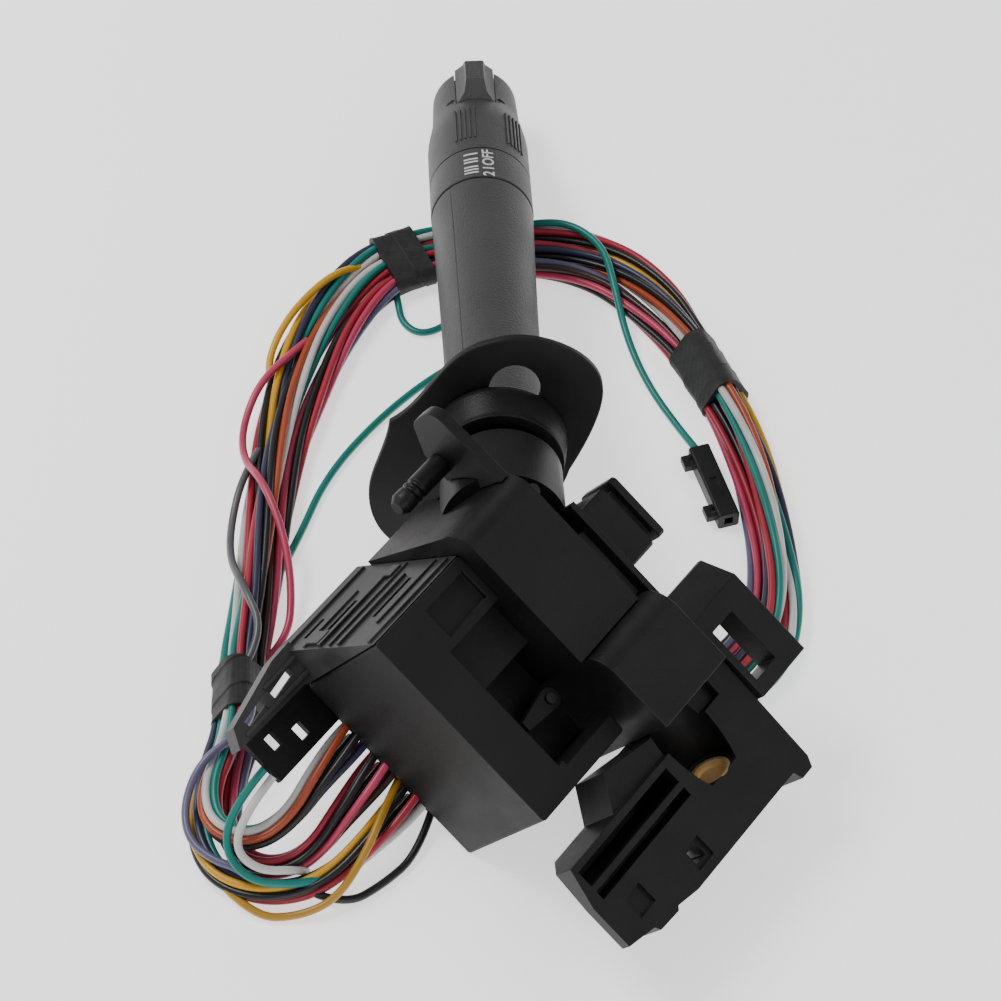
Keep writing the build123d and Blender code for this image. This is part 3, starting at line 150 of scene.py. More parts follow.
def noise(tree, scale, detail, stretch=(1, 1, 1), turn=(0, 0, 0)):
    """Noise read from the object's own coordinates, stretched and turned."""
    place = tree.nodes.new("ShaderNodeTexCoord")
    mapping = tree.nodes.new("ShaderNodeMapping")
    mapping.inputs["Scale"].default_value = stretch
    mapping.inputs["Rotation"].default_value = turn
    texture = tree.nodes.new("ShaderNodeTexNoise")
    texture.inputs["Scale"].default_value = scale
    texture.inputs["Detail"].default_value = detail
    tree.links.new(place.outputs["Object"], mapping.inputs["Vector"])
    tree.links.new(mapping.outputs["Vector"], texture.inputs["Vector"])
    return texture.outputs["Fac"]


def spread(tree, value, low, high):
    """Noise carried from the range that it mostly fills to another."""
    node = tree.nodes.new("ShaderNodeMapRange")
    node.inputs["From Min"].default_value = noise_low
    node.inputs["From Max"].default_value = noise_high
    node.inputs["To Min"].default_value = low
    node.inputs["To Max"].default_value = high
    tree.links.new(value, node.inputs["Value"])
    return node.outputs["Result"]


def two_tones(tree, value, dark, light):
    """A colour between two tones, by a value from 0 to 1."""
    mix = tree.nodes.new("ShaderNodeMix")
    mix.data_type = "RGBA"
    mix.inputs["A"].default_value = (*dark, 1)
    mix.inputs["B"].default_value = (*light, 1)
    tree.links.new(value, mix.inputs["Factor"])
    return mix.outputs["Result"]


def bumped(tree, shader, height, depth):
    """Bump on a shader from a height, with its depth in metres."""
    bump = tree.nodes.new("ShaderNodeBump")
    bump.inputs["Distance"].default_value = depth
    tree.links.new(height, bump.inputs["Height"])
    tree.links.new(bump.outputs["Normal"], shader.inputs["Normal"])


def toned(name, dark, light, scale, detail, stretch=(1, 1, 1), turn=(0, 0, 0)):
    """A material whose colour drifts between two tones, its tree, its shader and the drift itself."""
    material, tree, shader = blank(name)
    drift = noise(tree, scale, detail, stretch, turn)
    tree.links.new(two_tones(tree, spread(tree, drift, 0, 1), dark, light), shader.inputs["Base Color"])
    return material, tree, shader, drift


def plastic(name, dark, light, rough, grain_scale, grain_depth, stretch=(1, 1, 1), turn=(0, 0, 0)):
    """Moulded plastic: grain in the bump, and a slow change of tone and sheen."""
    material, tree, shader, drift = toned(name, dark, light, drift_scale, 4, stretch, turn)
    sheen = spread(tree, drift, rough - sheen_swing, rough + sheen_swing)
    tree.links.new(sheen, shader.inputs["Roughness"])
    shader.inputs["Specular IOR Level"].default_value = plastic_specular
    bumped(tree, shader, noise(tree, grain_scale, 3), grain_depth)
    return material


def grey(value):
    """A neutral colour."""
    return (value, value, value)


# Each has a dark tone, a light tone, a roughness, the scale of its grain and the grain's depth in metres.
body_black = plastic("body_black", (0.005, 0.005, 0.0055), (0.0105, 0.0105, 0.011), 0.42, 1900, 0.00008)
case_black = plastic("case_black", grey(0.007), grey(0.011), 0.54, 1900, 0.00007)
shield_black = plastic("shield_black", grey(0.004), grey(0.007), 0.5, 2600, 0.00003)
lever_grey = plastic("lever_grey", (0.046, 0.046, 0.0475), (0.06, 0.06, 0.0615), 0.48, 1500, 0.00024)
white_mark = plastic("white_mark", grey(0.62), grey(0.7), 0.5, 2400, 0.00001)
print("plastics", body_black.name, case_black.name, shield_black.name, lever_grey.name, white_mark.name)

# %% [markdown]
# The side cover's paler grey is painted light: it stands in for the light that the cover's slanted
# wall catches. It is noise again, but stretched about seventeen to one along the case, so it draws
# out into streaks.

# %% Streaked grey, board, brass and steel
streak = (1, 0.06, 1)
case_turn = (0, 0, np.radians(-51))
# Painted light: the light tone, grey 0.05, is the light that the slanted wall catches, laid in as colour.
cover_grey = plastic("cover_grey", grey(0.008), grey(0.05), 0.46, 2400, 0.00004, streak, case_turn)
board_green = plastic("board_green", (0.01, 0.05, 0.03), (0.015, 0.07, 0.04), 0.4, 1500, 0.00002)
tarnish_scale = 150
turning_scale = 900
smoother_by = 0.06
rougher_by = 0.1


def metal(name, dark, light, rough, stretch, metallic):
    """Metal with fine turning marks and a little tarnish. The steel pins are blackened."""
    material, tree, shader, drift = toned(name, dark, light, tarnish_scale, 4)
    shader.inputs["Metallic"].default_value = metallic
    tree.links.new(spread(tree, drift, rough - smoother_by, rough + rougher_by), shader.inputs["Roughness"])
    bumped(tree, shader, noise(tree, turning_scale, 2, stretch), fine_depth)
    return material


# Each has a dark tone, a light tone, a roughness, the stretch of its marks, and how metallic it is.
bush_brass = metal("bush_brass", (0.78, 0.50, 0.22), (1.0, 0.78, 0.46), 0.3, (1, 1, 6), 0.6)
plain_steel = metal("plain_steel", grey(0.03), grey(0.06), 0.38, (1, 8, 1), 1.0)

# %% [markdown]
# The tape is a woven cloth with a matte finish. Fine waves give the ribs of the weave, and a slow
# noise gives the wrinkles that a hand wrap leaves.

# %% Tape cloth
weave_share = 0.12
cloth_depth = 0.0007
tape_black, tape_tree, tape_shader, tape_drift = toned(
    "tape_black", grey(0.008), grey(0.024), scale=90, detail=5, stretch=(1, 2.5, 1)
)
tape_shader.inputs["Roughness"].default_value = 0.62
weave = tape_tree.nodes.new("ShaderNodeTexWave")
weave.inputs["Scale"].default_value = 900
weave.inputs["Distortion"].default_value = 1.5
weave_place = tape_tree.nodes.new("ShaderNodeTexCoord")
tape_tree.links.new(weave_place.outputs["Object"], weave.inputs["Vector"])
tape_height = tape_tree.nodes.new("ShaderNodeMath")
tape_height.operation = "MULTIPLY_ADD"
tape_height.inputs[1].default_value = weave_share
tape_tree.links.new(weave.outputs["Fac"], tape_height.inputs[0])
tape_tree.links.new(tape_drift, tape_height.inputs[2])
bumped(tape_tree, tape_shader, tape_height.outputs["Value"], cloth_depth)

# %% [markdown]
# Wire insulation is a soft vinyl with a clear sheen. Each colour is one shader with a slight tone
# change along the wire, so a long run doesn't look painted on.

# %% Wire colours
vinyl_scale = 70
drawing_scale = 1200
dark_share = 0.78
vinyl_rough = 0.36


def insulation(name, colour):
    """Vinyl insulation: a clean colour, a soft sheen and faint drawing marks."""
    dark = tuple(dark_share * value for value in colour)
    material, tree, shader, _ = toned(name, dark, colour, vinyl_scale, 3)
    shader.inputs["Roughness"].default_value = vinyl_rough
    bumped(tree, shader, noise(tree, drawing_scale, 2), fine_depth)
    return material


wire_colours = {
    "white": (0.66, 0.65, 0.64),
    "red": (0.42, 0.02, 0.045),
    "pink": (0.56, 0.05, 0.12),
    "orange": (0.40, 0.065, 0.02),
    "yellow": (0.74, 0.38, 0.012),
    "ochre": (0.46, 0.24, 0.015),
    "teal": (0.0, 0.21, 0.175),
    "navy": (0.028, 0.032, 0.072),
    "lavender": (0.13, 0.12, 0.22),
    "brown": (0.04, 0.018, 0.012),
    "grey": (0.11, 0.11, 0.12),
    "black": (0.007, 0.007, 0.008),
}
wires = {name: insulation("wire_" + name, colour) for name, colour in wire_colours.items()}
print("wire colours", len(wires))

# %% [markdown]
# The engineering solids have knife-sharp edges, and real mouldings don't: a tool's corner leaves a
# small round, and that round is what catches the light. Each moulding gets a copy of its solid,
# with its points joined and its edges rounded.

# %% Rounded mouldings
slot_material = {
    "black_plastic": body_black,
    "grey_plastic": lever_grey,
    "cover_grey": cover_grey,
    "board": board_green,
    "brass": bush_brass,
    "steel": plain_steel,
    "tape": tape_black,
    "wires": wires["red"],
    "wire_teal": wires["teal"],
    "wire_lavender": wires["lavender"],
    "wire_ochre": wires["ochre"],
    "wire_black": wires["black"],
    "wire_pink": wires["pink"],
    "wire_grey": wires["grey"],
    "wire_yellow": wires["yellow"],
}
slot_of = {name: node.data.materials[0].name.split(".")[0] for name, node in nodes.items()}
for name, node in nodes.items():
    node.material_slots[0].link = "OBJECT"
    node.material_slots[0].material = slot_material[slot_of[name]]

join_distance = 0.000005
flat_degrees = 0.2
sharp_degrees = 32
rounded_degrees = 34


def round_edges(piece, width):
    """A small round on a piece's sharp edges, with its width in millimetres."""
    rounding = piece.modifiers.new("rounding", "BEVEL")
    rounding.width = width * millimetre
    rounding.segments = 2
    rounding.limit_method = "ANGLE"
    rounding.angle_limit = np.radians(rounded_degrees)


def soften(name, width, material):
    """A copy of a solid with its points joined, its flat faces whole and its sharp edges rounded."""
    mesh = nodes[name].data.copy()
    if "custom_normal" in mesh.attributes:
        mesh.attributes.remove(mesh.attributes["custom_normal"])
    work = bmesh.new()
    work.from_mesh(mesh)
    bmesh.ops.remove_doubles(work, verts=work.verts, dist=join_distance)
    bmesh.ops.dissolve_limit(
        work,
        angle_limit=np.radians(flat_degrees),
        use_dissolve_boundaries=False,
        verts=work.verts,
        edges=work.edges,
    )
    work.to_mesh(mesh)
    work.free()
    smooth(mesh, sharp_degrees)
    mesh.materials.clear()
    piece = linked("moulded_" + name, mesh)
    round_edges(piece, width)
    return settle(piece, body_of[name], material, slot_of[name], name)


# Each has the width of its rounds in millimetres, and its material.
rounded = {
    "switch_case": (0.4, case_black),
    "pivot_housing": (0.3, body_black),
    "peg_ear": (0.4, body_black),
    "pivot_base": (0.3, body_black),
    "bracket_knuckle": (0.35, body_black),
    "mount_bracket": (0.3, body_black),
    "wire_hook": (0.35, body_black),
    "side_cover": (0.25, cover_grey),
    "hazard_housing": (0.3, body_black),
    "hazard_button": (0.3, body_black),
    "terminal_block": (0.25, body_black),
    "locating_peg": (0.25, body_black),
    "rail_outer": (0.25, body_black),
    # The inner rail takes the cover's paler grey, which is painted light on its ridges.
    "rail_inner": (0.15, cover_grey),
    "turn_carrier": (0.25, body_black),
    "lever_shield": (0.4, shield_black),
    "shield_collar": (0.25, body_black),
    "marking_ring": (0.3, lever_grey),
    "wiper_knob": (0.16, lever_grey),
    "washer_paddle": (0.5, lever_grey),
    "main_connector": (0.3, body_black),
    "lead_connector": (0.25, body_black),
}
soft = {name: soften(name, width, material) for name, (width, material) in rounded.items()}
print("rounded", len(soft), "slots", sorted(set(slot_of.values())))

# %% [markdown]
# The camera stands where the photographer stood: high in front of the switch, looking down at 52
# degrees. The lens is long, so the far end of the lever hardly shrinks.

# %% Camera
camera = linked("camera", bpy.data.cameras.new("camera"))
camera.data.lens = 120.5
camera.data.sensor_width = 36.0
camera.data.clip_start = 0.05
camera.location = (-0.02794, -0.59865, 0.77509)
camera.rotation_euler = (np.radians(90 - 52), 0, np.radians(-2.6))
bpy.context.scene.camera = camera

# %% [markdown]
# The wires come next, because the tape goes round them. A route is a short list of points, and a
# smooth spline runs near them, as a real wire rounds its corners. The points are the engineering
# model's own, in millimetres.

# %% Routes
route_millimetres = {
    "harness_outer": [
        (-28.6, -100.3, 8.6), (-38.2, -111.8, 7.8), (-54.5, -125.2, 3.55), (-70, -127.6, 3.55),
        (-83.3, -120.7, 3.55), (-88.6, -105.9, 3.55), (-85.5, -87.9, 3.55), (-80.4, -73.4, 4.2),
        (-80, -54.8, 4.2), (-76.2, -32.9, 3.55), (-72.8, -0.9, 3.55), (-69.8, 27.5, 3.55),
        (-65.3, 52.6, 3.55), (-56.3, 78, 3.55), (-39.8, 100.5, 4.3), (-17.4, 109.6, 3.55),
        (17.3, 109.3, 3.55), (40.2, 100.6, 3.55), (55, 82.7, 3.7), (62.5, 61.1, 4.2),
        (72.7, 35.2, 4.2), (78.6, 9.1, 3.55), (80.6, -17.3, 3.55), (81.3, -39.5, 3.55),
        (75.1, -60.1, 3.55), (57.8, -73.2, 3.55), (45.3, -75, 3.55),
    ],
    "harness_inner": [
        (-36.5, -93.9, 15), (-45.6, -105, 13.4), (-58.3, -117.2, 3.55), (-71.4, -119.8, 3.55),
        (-79.9, -110, 3.55), (-78.5, -93.4, 3.55), (-73.1, -75.4, 4.2), (-73, -56, 4.2),
        (-69, -33.9, 3.55), (-65.2, -1.9, 3.55), (-60.2, 25.7, 3.55), (-52.7, 48.6, 3.55),
        (-43.7, 71.2, 3.55), (-30.6, 88.7, 4.3), (-14.6, 95.4, 3.55), (14.7, 95.1, 3.55),
        (31.8, 88.6, 3.55), (44, 75.5, 3.7), (55.5, 58.1, 4.2), (65.9, 33, 4.2), (71.4, 8.1, 3.55),
        (73.4, -17.5, 3.55), (70.7, -37.3, 3.55), (63.9, -51.7, 3.55), (52.2, -59.6, 3.55),
        (43.3, -60.8, 3.55),
    ],
    "harness_top": [
        (-43.8, -88, 20.8), (-53, -99.3, 20.4), (-62.2, -110.2, 13.6), (-73, -115.4, 10.9),
        (-83.2, -110, 10.8), (-84.6, -97.6, 10.7), (-79.3, -84.4, 10.7), (-76.6, -70.4, 10.5),
        (-76.5, -55.4, 10.4), (-72.6, -33.4, 9.75), (-69, -1.4, 9.7), (-65, 26.6, 8.8), (-59, 50.6, 6.6),
        (-50, 74.6, 3.6), (-35.2, 94.6, 4.3), (-16, 102.5, 3.56), (16, 102.2, 3.56), (36, 94.6, 3.8),
        (49.5, 79.1, 7.1), (59, 59.6, 10.35), (69.3, 34.1, 10.35), (75, 8.6, 9.75), (77, -17.4, 9.75),
        (76, -38.4, 8.4), (69.5, -55.9, 6.3), (55, -66.4, 3.6), (44.3, -67.9, 3.55),
    ],
    "lead_wire": [
        (16.5, 109.2, 8.3), (27, 107.1, 8.6), (35.5, 96.1, 9.8), (37.8, 80.6, 9.2), (40.5, 64.6, 3.2),
        (46, 46.6, 1.3), (54.5, 28.6, 1.4), (58.6, 19.6, 3.2),
    ],
    "lavender_wire": [
        (-71.6, -73.6, 12.2), (-76.5, -83.9, 16), (-86.5, -91.4, 14.8), (-91.2, -101.9, 10.4),
        (-90, -112.4, 8.7), (-83, -119.2, 8.6), (-76.8, -121.8, 8.8),
    ],
    "ochre_wire": [
        (-32.6, -97.1, 11.8), (-37, -108.4, 14.2), (-42.3, -120.4, 11), (-50.5, -130.4, 4.5),
        (-61, -133.3, 1.4), (-72.5, -133, 1.4),
    ],
    "black_wire": [
        (-24.3, -103.8, 4.6), (-28.5, -115.4, 1.6), (-38, -124.2, 1.3), (-48, -130.2, 1.3),
    ],
    "pink_wire": [
        (-60, 59.6, 8.6), (-70.5, 48.6, 8), (-76, 34.6, 4), (-75.6, 19.6, 6.6), (-69.3, 4.6, 15.6),
        (-63.6, -11.4, 11.6), (-61.5, -27.4, 6), (-63, -42.4, 1.6),
    ],
    "grey_wire": [
        (-75.6, 11.6, 9.4), (-79.2, -3.4, 5.4), (-79.2, -18.4, 8), (-74.6, -33.4, 15.4),
        (-69.2, -47.4, 13.2),
    ],
    "yellow_wire": [
        (-46.5, 91.6, 8.6), (-57.5, 80.1, 8.4), (-65, 68.6, 6.6), (-69, 57.1, 3),
    ],
    "teal_wire": [
        (-60.2, -7.4, 1.3), (-51.5, 16.6, 1.3), (-35, 38.6, 1.3), (-16, 56.1, 1.3), (2, 65.1, 1.3),
        (9.5, 74.6, 1.3), (3, 83.6, 1.3), (-8.5, 80.1, 1.3), (-15.5, 72.6, 1.3), (-22.5, 70.6, 1.3),
        (-27.5, 75.6, 1.3), (-28.4, 83.1, 1.3),
    ],
    "loop_wire_grey": [
        (-66.2, -104, 25.2), (-73.5, -111.7, 21), (-77.3, -119.9, 15.5), (-71, -125.4, 12.4),
        (-60, -123.8, 9.6),
    ],
    "loop_wire_teal": [
        (-68.5, -102.3, 26.4), (-76.2, -109.2, 21.6), (-80.3, -118.4, 14.5), (-74.5, -126.2, 9.6),
        (-62, -128, 8.3),
    ],
}
routes = {name: np.array(points) * millimetre for name, points in route_millimetres.items()}

bundle_radius = 3.45 * millimetre
wire_radius = 1.15 * millimetre


def centre_curve(name, points):
    """One open spline that keeps near a route's points."""
    curve = bpy.data.curves.new(name, "CURVE")
    curve.dimensions = "3D"
    curve.resolution_u = 14
    spline = curve.splines.new("NURBS")
    spline.points.add(len(points) - 1)
    spline.points.foreach_set("co", np.array([(*point, 1.0) for point in points]).ravel())
    spline.order_u = 3
    spline.use_endpoint_u = True
    return bpy.data.objects.new(name, curve)


def centre_points(name, points):
    """The points of a route's smooth line, and its direction at each."""
    guide = centre_curve(name + "_guide", points)
    mesh = bpy.data.meshes.new_from_object(guide)
    line = np.empty(len(mesh.vertices) * 3)
    mesh.vertices.foreach_get("co", line)
    line = line.reshape(-1, 3)
    bpy.data.meshes.remove(mesh)
    bpy.data.objects.remove(guide)
    forward = np.gradient(line, axis=0)
    forward /= np.linalg.norm(forward, axis=1)[:, None]
    return line, forward


# %% [markdown]
# A single wire is a curve with a round section, so it needs no mesh of its own. Where it comes out
# of a bundle or goes back into one, its route is carried on into the bundle, so that no end shows.

# %% Single wires
tucked_starts = {
    "teal_wire": (-66, -21.4, 3),
    "grey_wire": (-71, 23.6, 6),
    "pink_wire": (-56.5, 65.6, 6),
    "yellow_wire": (-40, 95.6, 5),
    "lavender_wire": (-73.5, -66.4, 11),
    "lead_wire": (8, 109.6, 5.5),
}
tucked_ends = {
    "teal_wire": (-29.5, 89.6, 3.5),
    "grey_wire": (-74.5, -57.4, 11.5),
    "pink_wire": (-70, -51.4, 3.5),
    "yellow_wire": (-66.8, 47.6, 3),
    "lavender_wire": (-69.5, -125.9, 5),
    "ochre_wire": (-80, -124.9, 3.5),
    "black_wire": (-56, -127.4, 3),
    "loop_wire_grey": (-58.5, -119.5, 1.6),
    "loop_wire_teal": (-54, -123.9, 5),
}


def tucked(name):
    """A single wire's route, carried on at its ends into the bundle that it comes out of."""
    start = [tucked_starts[name]] if name in tucked_starts else []
    end = [tucked_ends[name]] if name in tucked_ends else []
    ends = [np.array(points).reshape(-1, 3) * millimetre for points in (start, end)]
    return np.concatenate([ends[0], routes[name], ends[1]])


single_wires = {
    "lead_wire": "teal",
    "lavender_wire": "lavender",
    "ochre_wire": "ochre",
    "black_wire": "black",
    "pink_wire": "pink",
    "grey_wire": "grey",
    "yellow_wire": "yellow",
    "teal_wire": "teal",
    "loop_wire_grey": "white",
    "loop_wire_teal": "teal",
}
for name, colour in single_wires.items():
    route = tucked(name)
    wire = centre_curve("dressed_" + name, route)
    wire.data.bevel_depth = wire_radius
    wire.data.bevel_resolution = 4
    wire.data.use_fill_caps = True
    bpy.context.collection.objects.link(wire)
    line, forward = centre_points(name, route)
    settle(wire, "switch_body", wires[colour], slot_of[name], name)

# %% [markdown]
# A harness bundle is seven wires: one in the middle and six round it. Each of the six winds slowly
# round the middle one, because the wires were twisted by hand before they were taped. Near the
# switch they spread, where each wire goes to a terminal of its own.

# %% Bundles of seven
# Lengths are in metres. A share is a part of the wire's own diameter, or of its radius for the lowest.
twist_pitch = 0.19
fan_share = 0.75
fan_length = 0.018
lowest_share = 1.02
wire_sides = 12


def strands(line, forward):
    """Seven centre lines: line + r (across cos a + over sin a), a = a sixth turn each + one turn a pitch.

    r is the wire's diameter, and at the first end larger by the share fan_share, which fades away.
    """
    travelled = np.concatenate([[0], np.cumsum(np.linalg.norm(np.diff(line, axis=0), axis=1))])
    across = np.cross(forward, [0, 0, 1])
    across /= np.linalg.norm(across, axis=1)[:, None]
    over = np.cross(across, forward)
    turn = np.arange(6)[:, None] * np.pi / 3 + 2 * np.pi * travelled / twist_pitch
    reach = 2 * wire_radius * (1 + fan_share * np.exp(-((travelled / fan_length) ** 2)))
    ring = reach[None, :, None] * (np.cos(turn)[..., None] * across + np.sin(turn)[..., None] * over)
    centres = np.concatenate([line[None], line[None] + ring])
    centres[..., 2] = np.maximum(centres[..., 2], lowest_share * wire_radius)
    return centres, across, over


def bundle_mesh(name, centres, across, over, colours):
    """A closed tube along each centre line: centre + wire radius (across cos b + over sin b)."""
    around = np.arange(wire_sides) * 2 * np.pi / wire_sides
    section = np.cos(around)[:, None] * across[:, None] + np.sin(around)[:, None] * over[:, None]
    points = centres[:, :, None] + wire_radius * section[None]
    rows = centres.shape[1]
    tubes = [tube_faces(rows, wire_sides, index * rows * wire_sides) for index in range(len(centres))]
    shades = [index for index, tube in enumerate(tubes) for _ in tube]
    mesh = bpy.data.meshes.new(name)
    mesh.from_pydata(points.reshape(-1, 3).tolist(), [], sum(tubes, []))
    for colour in colours:
        mesh.materials.append(wires[colour])
    mesh.polygons.foreach_set("material_index", shades)
    smooth(mesh, 60)
    return linked(name, mesh)


bundle_colours = {
    "harness_top": ["black", "white", "orange", "black", "navy", "red", "teal"],
    "harness_inner": ["black", "red", "black", "pink", "brown", "lavender", "pink"],
    "harness_outer": ["black", "yellow", "black", "red", "white", "teal", "navy"],
}
for name, colours in bundle_colours.items():
    line, forward = centre_points(name, routes[name])
    centres, across, over = strands(line, forward)
    bundle = bundle_mesh("strands_" + name, centres, across, over, colours)
    settle(bundle, "switch_body", wires["red"], "wires", name)

# %% [markdown]
# Each tape band is pulled tight over its bundles, so its section is the stretched outline of three
# circles. It is wound in overlapping turns, and each turn ends in a small step that runs round at a
# slant. A few shallow wrinkles run along it.

# %% Tape bands
# Millimetres, apart from hug, which is how closely the outline follows the circles.
tape_wall = 0.55
turn_step = 0.35
turn_pitch = 9.0
hug = 2.2
wrinkle_height = 0.12
mouth_lift = 0.25
mouth_length = 1.2
tape_lowest = 0.06


def tape_band(name, start, end, bundles):
    """A band from start to end over circles at bundles (sideways, height), all in millimetres.

    The section's point at angle a is the softened largest of the circles' reach along a, plus the wall.
    On it lie the step, times the fraction of (turns along + a turn), the wrinkles and the lifted mouths.
    """
    start = np.array(start) * millimetre
    end = np.array(end) * millimetre
    way = (end - start) / np.linalg.norm(end - start)
    sideways = np.cross(way, [0, 0, 1])
    angle = np.linspace(0, 2 * np.pi, 97)[:-1]
    outward = np.stack([np.cos(angle), np.sin(angle)], axis=-1)
    middles = np.array(bundles)
    reach = middles @ outward.T
    weight = np.exp(hug * (reach - reach.max(axis=0)))
    centre = (weight / weight.sum(axis=0)).T @ middles
    share = np.linspace(0, 1, 61)[:, None]
    length = np.linalg.norm(end - start) / millimetre
    turns = share * length / turn_pitch + angle / (2 * np.pi)
    ridge = turn_step * (1 - np.mod(turns, 1)) ** 1.5
    folds = np.sin(7 * angle + 9 * share) * np.sin(3 * angle - 5 * share) * np.sin(np.pi * share)
    from_start = share * length
    from_end = (1 - share) * length
    mouth = mouth_lift * (np.exp(-from_start / mouth_length) + np.exp(-from_end / mouth_length))
    radius = bundle_radius / millimetre + tape_wall + ridge + wrinkle_height * folds + mouth
    section = centre[None] + radius[..., None] * outward[None]
    section[..., 1] = np.maximum(section[..., 1], tape_lowest)
    spot = start + (share * (end - start))[:, None] * np.ones((1, len(angle), 1))
    grid = spot + millimetre * (section[..., :1] * sideways + section[..., 1:] * np.array([0, 0, 1.0]))
    return surface(name, grid)


heaped = [(-3.55, 4.2), (3.55, 4.2), (0, 10.4)]
flat = [(-7.2, 4.3), (0, 4.3), (7.2, 4.3)]
tapes = {
    "tape_left": ((-76.6, -72.4, 0), (-76.6, -55.9, 0), heaped),
    "tape_top": ((-32.5, 95.8, 0), (-20.5, 100.6, 0), flat),
    "tape_right": ((60, 57.1, 0), (68.2, 36.8, 0), heaped),
}
for name, (start, end, bundles) in tapes.items():
    band = tape_band("wound_" + name, start, end, bundles)
    settle(band, "switch_body", tape_black, "tape", name)
    print(name, "faces", len(band.data.polygons))

# %% [markdown]
# The side cover is stiffened by moulded rails that run along its slanted wall and on over its tongue,
# with small latch blocks between them. Each rail is a thin bar that stands about a millimetre proud,
# so it belongs to the surface and not to the engineering solid. The switch body has axes of its own:
# the button slides along one of them, and the lever's turn axis is another.

# %% Cover rails
body_back = -np.array(joints["hazard_press"]["axis"])
body_up = np.array(joints["turn_signal"]["axis"])
body_right = np.cross(body_back, body_up)
case_corner = np.array([-37.45, -96.3, 72.93])
# The slanted wall goes so far to the left while it goes so far down.
wall_run = 12.3
wall_drop = 45.4
foot_depth = 0.4
rail_round = 0.18


def in_body(x, y, z):
    """A point given along the switch body's axes, from the case's corner, in millimetres."""
    return case_corner + x * body_right + y * body_back + z * body_up


def rails(name, origin, across, outward, bars):
    """Bars on a plane: origin + along times body_back + over times across + height times outward.

    Each bar is (along start, along end, over start, over end, height), and its foot is sunk in the plane.
    """
    corners = []
    faces = []
    quads = np.array([(0, 1, 3, 2), (4, 6, 7, 5), (0, 4, 5, 1), (2, 3, 7, 6), (0, 2, 6, 4), (1, 5, 7, 3)])
    for index, (start, end, low, high, height) in enumerate(bars):
        box = np.meshgrid([start, end], [low, high], [-foot_depth, height], indexing="ij")
        offsets = np.stack(box, axis=-1).reshape(-1, 3) @ np.array([body_back, across, outward])
        corners.append(origin + offsets)
        faces.append(quads + 8 * index)
    mesh = bpy.data.meshes.new(name)
    mesh.from_pydata((np.concatenate(corners) * millimetre).tolist(), [], np.concatenate(faces).tolist())
    work = bmesh.new()
    work.from_mesh(mesh)
    bmesh.ops.recalc_face_normals(work, faces=work.faces)
    work.to_mesh(mesh)
    work.free()
    piece = linked(name, mesh)
    round_edges(piece, rail_round)
    # The rails take the cover's paler grey, which is painted light on the raised bars.
    settle(piece, "switch_body", cover_grey, "cover_grey")


down_the_wall = -(wall_run * body_right + wall_drop * body_up) / np.hypot(wall_run, wall_drop)
out_of_wall = np.cross(body_back, down_the_wall)
wall_rails = [
    (0.8, 34.6, 2.2, 3.6, 0.7), (9.0, 34.6, 7.6, 8.6, 0.6), (0.8, 29.5, 16.4, 17.8, 0.8),
    (0.8, 34.6, 21.0, 22.0, 0.6), (0.8, 32.0, 25.6, 27.0, 0.8), (0.8, 24.0, 33.0, 34.2, 0.6),
    (0.8, 34.6, 41.6, 43.2, 0.8), (28.5, 33.0, 22.0, 25.6, 1.2), (1.5, 6.5, 27.0, 33.0, 1.0),
]
tongue_rails = [(-26.0, 1.0, 3.0, 4.0, 0.8), (-13.0, 1.0, 8.2, 9.2, 0.8), (-16.0, -12.6, 4.0, 7.6, 0.6)]
rails("wall_rails", in_body(-0.3, 0, -0.6), down_the_wall, out_of_wall, wall_rails)
rails("tongue_rails", in_body(0, 0, -39.8), -body_right, body_up, tongue_rails)
print("rails", len(wall_rails) + len(tongue_rails))

# %% [markdown]
# The grip is one hollow moulding with a parting line where the two halves of its mould met. The line
# runs along its top, a little to the left. The grip swells gently from the shield to the marking ring.

# %% Grip
# Millimetres, apart from the angles.
grip_start = 33.5
grip_end = 139.3
grip_stations = np.array([grip_start, 36.5, 60.0, 88.0, 115.0, grip_end])
grip_radii = np.array([13.4, 13.5, 13.85, 14.2, 14.85, 15.5])
parting_degrees = 52
groove_depth = 0.16
groove_degrees = 0.7
start_round = 0.5
end_round = 0.4
round_length = 0.5


def grip_surface(distance, angle):
    """Radius by distance along a smooth curve, less the parting line's groove and the rounded ends."""
    shape = np.polynomial.polynomial.polyfit(grip_stations, grip_radii, 3)
    radius = np.polynomial.polynomial.polyval(distance, shape)
    from_parting = (angle - np.radians(parting_degrees)) / np.radians(groove_degrees)
    radius = radius - groove_depth * np.exp(-(from_parting**2))
    radius = radius - start_round * np.exp(-(distance - grip_start) / round_length)
    radius = radius - end_round * np.exp((distance - grip_end) / round_length)
    return on_lever(radius * np.cos(angle), radius * np.sin(angle), distance)


near_parting = np.linspace(parting_degrees - 3, parting_degrees + 3, 25)
rest_of_turn = np.linspace(parting_degrees + 5, parting_degrees + 355, 118)
grip_angle = np.radians(np.concatenate([near_parting, rest_of_turn]))
close_together = np.linspace(0, 1, 9) ** 2
grip_distance = np.concatenate([
    grip_start + 2.4 * close_together,
    np.linspace(37, 136.5, 60),
    grip_end - 2.2 * close_together[::-1],
])
grip = surface("grip_skin", grip_surface(grip_distance[:, None], grip_angle[None, :]))
settle(grip, "lever", lever_grey, "grey_plastic", "lever_grip")
print("grip faces", len(grip.data.polygons))

# %% [markdown]
# The marking ring carries the wiper settings in white, in two columns that read along the lever: a
# plain OFF and numbers in one, and one, two and three bars in the other. They are pad printed, so
# they stand less than a tenth of a millimetre proud of the ring.

# %% Printed marks
ring_radius = 15.6
film_lift = 0.02
film_half = 0.05
stroke_gain = 0.06


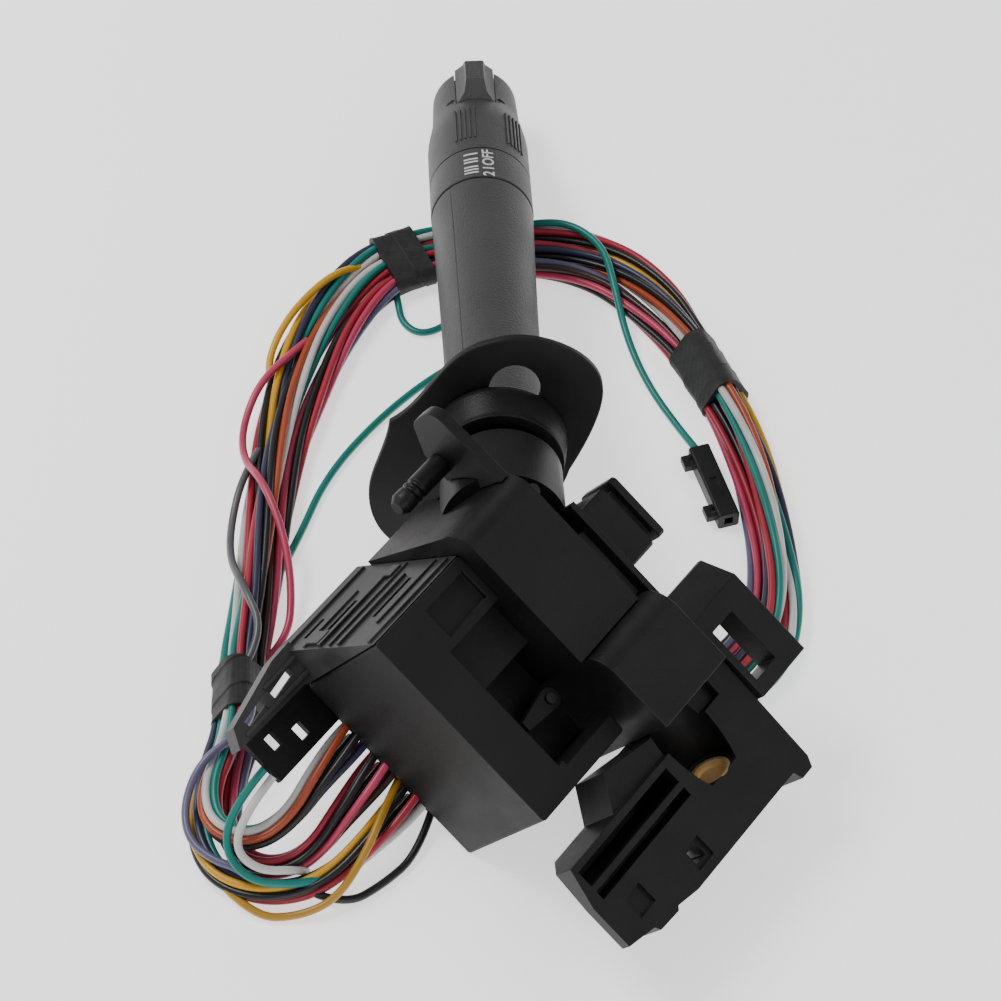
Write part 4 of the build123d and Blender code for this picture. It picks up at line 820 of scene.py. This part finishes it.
def printed(name, text, size, middle_degrees, distance):
    """Flat letters bent round the ring, reading along it: the radius is the ring's, plus the film.

    The angle is the middle one, less a letter's height over the radius. The distance grows with x.
    The letters are cut into small faces first, so that they can follow the ring's curve.
    """
    font = bpy.data.curves.new(name, "FONT")
    font.body = text
    font.size = size
    font.align_x = "CENTER"
    font.align_y = "CENTER"
    font.offset = stroke_gain
    font.extrude = film_half
    font.resolution_u = 6
    holder = bpy.data.objects.new(name + "_flat", font)
    mesh = bpy.data.meshes.new_from_object(holder)
    bpy.data.objects.remove(holder)
    work = bmesh.new()
    work.from_mesh(mesh)
    bmesh.ops.triangulate(work, faces=work.faces)
    bmesh.ops.subdivide_edges(work, edges=work.edges, cuts=3, use_grid_fill=True)
    work.to_mesh(mesh)
    work.free()
    flat_points = np.empty(len(mesh.vertices) * 3)
    mesh.vertices.foreach_get("co", flat_points)
    flat_points = flat_points.reshape(-1, 3)
    radius = ring_radius + film_lift + flat_points[:, 2]
    angle = np.radians(middle_degrees) - flat_points[:, 1] / ring_radius
    bent = on_lever(radius * np.cos(angle), radius * np.sin(angle), distance + flat_points[:, 0])
    mesh.vertices.foreach_set("co", bent.ravel())
    mesh.materials.clear()
    mesh.update()
    settle(linked(name, mesh), "lever", white_mark, "grey_plastic")


# Each has its text, its size, its middle angle in degrees and its distance along the lever.
marks = {
    "mark_bar": ("I", 6.2, 80.0, 151.9),
    "mark_bars": ("II", 6.2, 80.0, 148.4),
    "mark_ladder": ("III", 6.2, 80.0, 143.4),
    "mark_off": ("OFF", 4.9, 99.0, 149.6),
    "mark_one": ("1", 4.9, 99.0, 143.9),
    "mark_two": ("2", 4.9, 99.0, 140.9),
}
for name, (text, size, angle, distance) in marks.items():
    printed(name, text, size, angle, distance)
print("marks", len(marks))

# %% [markdown]
# A pale bench and three soft lamps: a strong one high on the left, a weaker one on the right, and a
# low one in front that lifts the black plastic out of its shadow. The bench glows a little, like a
# light table, so it stays pale while the plastic stays black. The lamps lean out to their own side,
# so the switch lies in the soft edge of their light.

# %% Bench and light
floor_mesh = bpy.data.meshes.new("bench")
floor_mesh.from_pydata([(-2, -2, 0), (2, -2, 0), (2, 2, 0), (-2, 2, 0)], [], [(0, 1, 2, 3)])
bench_white, _, bench_shader = blank("bench_white")
bench_shader.inputs["Base Color"].default_value = (0.93, 0.93, 0.93, 1)
bench_shader.inputs["Roughness"].default_value = 0.9
bench_shader.inputs["Emission Color"].default_value = (1, 1, 1, 1)
bench_shader.inputs["Emission Strength"].default_value = 1.0
floor_mesh.materials.append(bench_white)
linked("bench", floor_mesh)

world = bpy.data.worlds.new("studio")
world.use_nodes = True
world.node_tree.nodes["Background"].inputs["Color"].default_value = (1, 1, 1, 1)
world.node_tree.nodes["Background"].inputs["Strength"].default_value = 0.42
bpy.context.scene.world = world

# Each lamp has a name, a place, a width in metres and a power in watts.
lamps = [
    ("key", (-0.7, 0.35, 1.1), 0.7, 21),
    ("fill", (0.8, -0.3, 0.9), 0.9, 7),
    ("front", (0.1, -1.0, 0.45), 0.6, 2),
]
aim_height = 0.03
for name, place, width, power in lamps:
    lamp = linked(name, bpy.data.lights.new(name, "AREA"))
    lamp.data.size = width
    lamp.data.energy = power
    lamp.location = place
    facing = np.array([place[0], -place[1], aim_height - place[2]])
    tilt = np.arccos(-facing[2] / np.linalg.norm(facing))
    lamp.rotation_euler = (tilt, 0, np.arctan2(-facing[0], facing[1]))
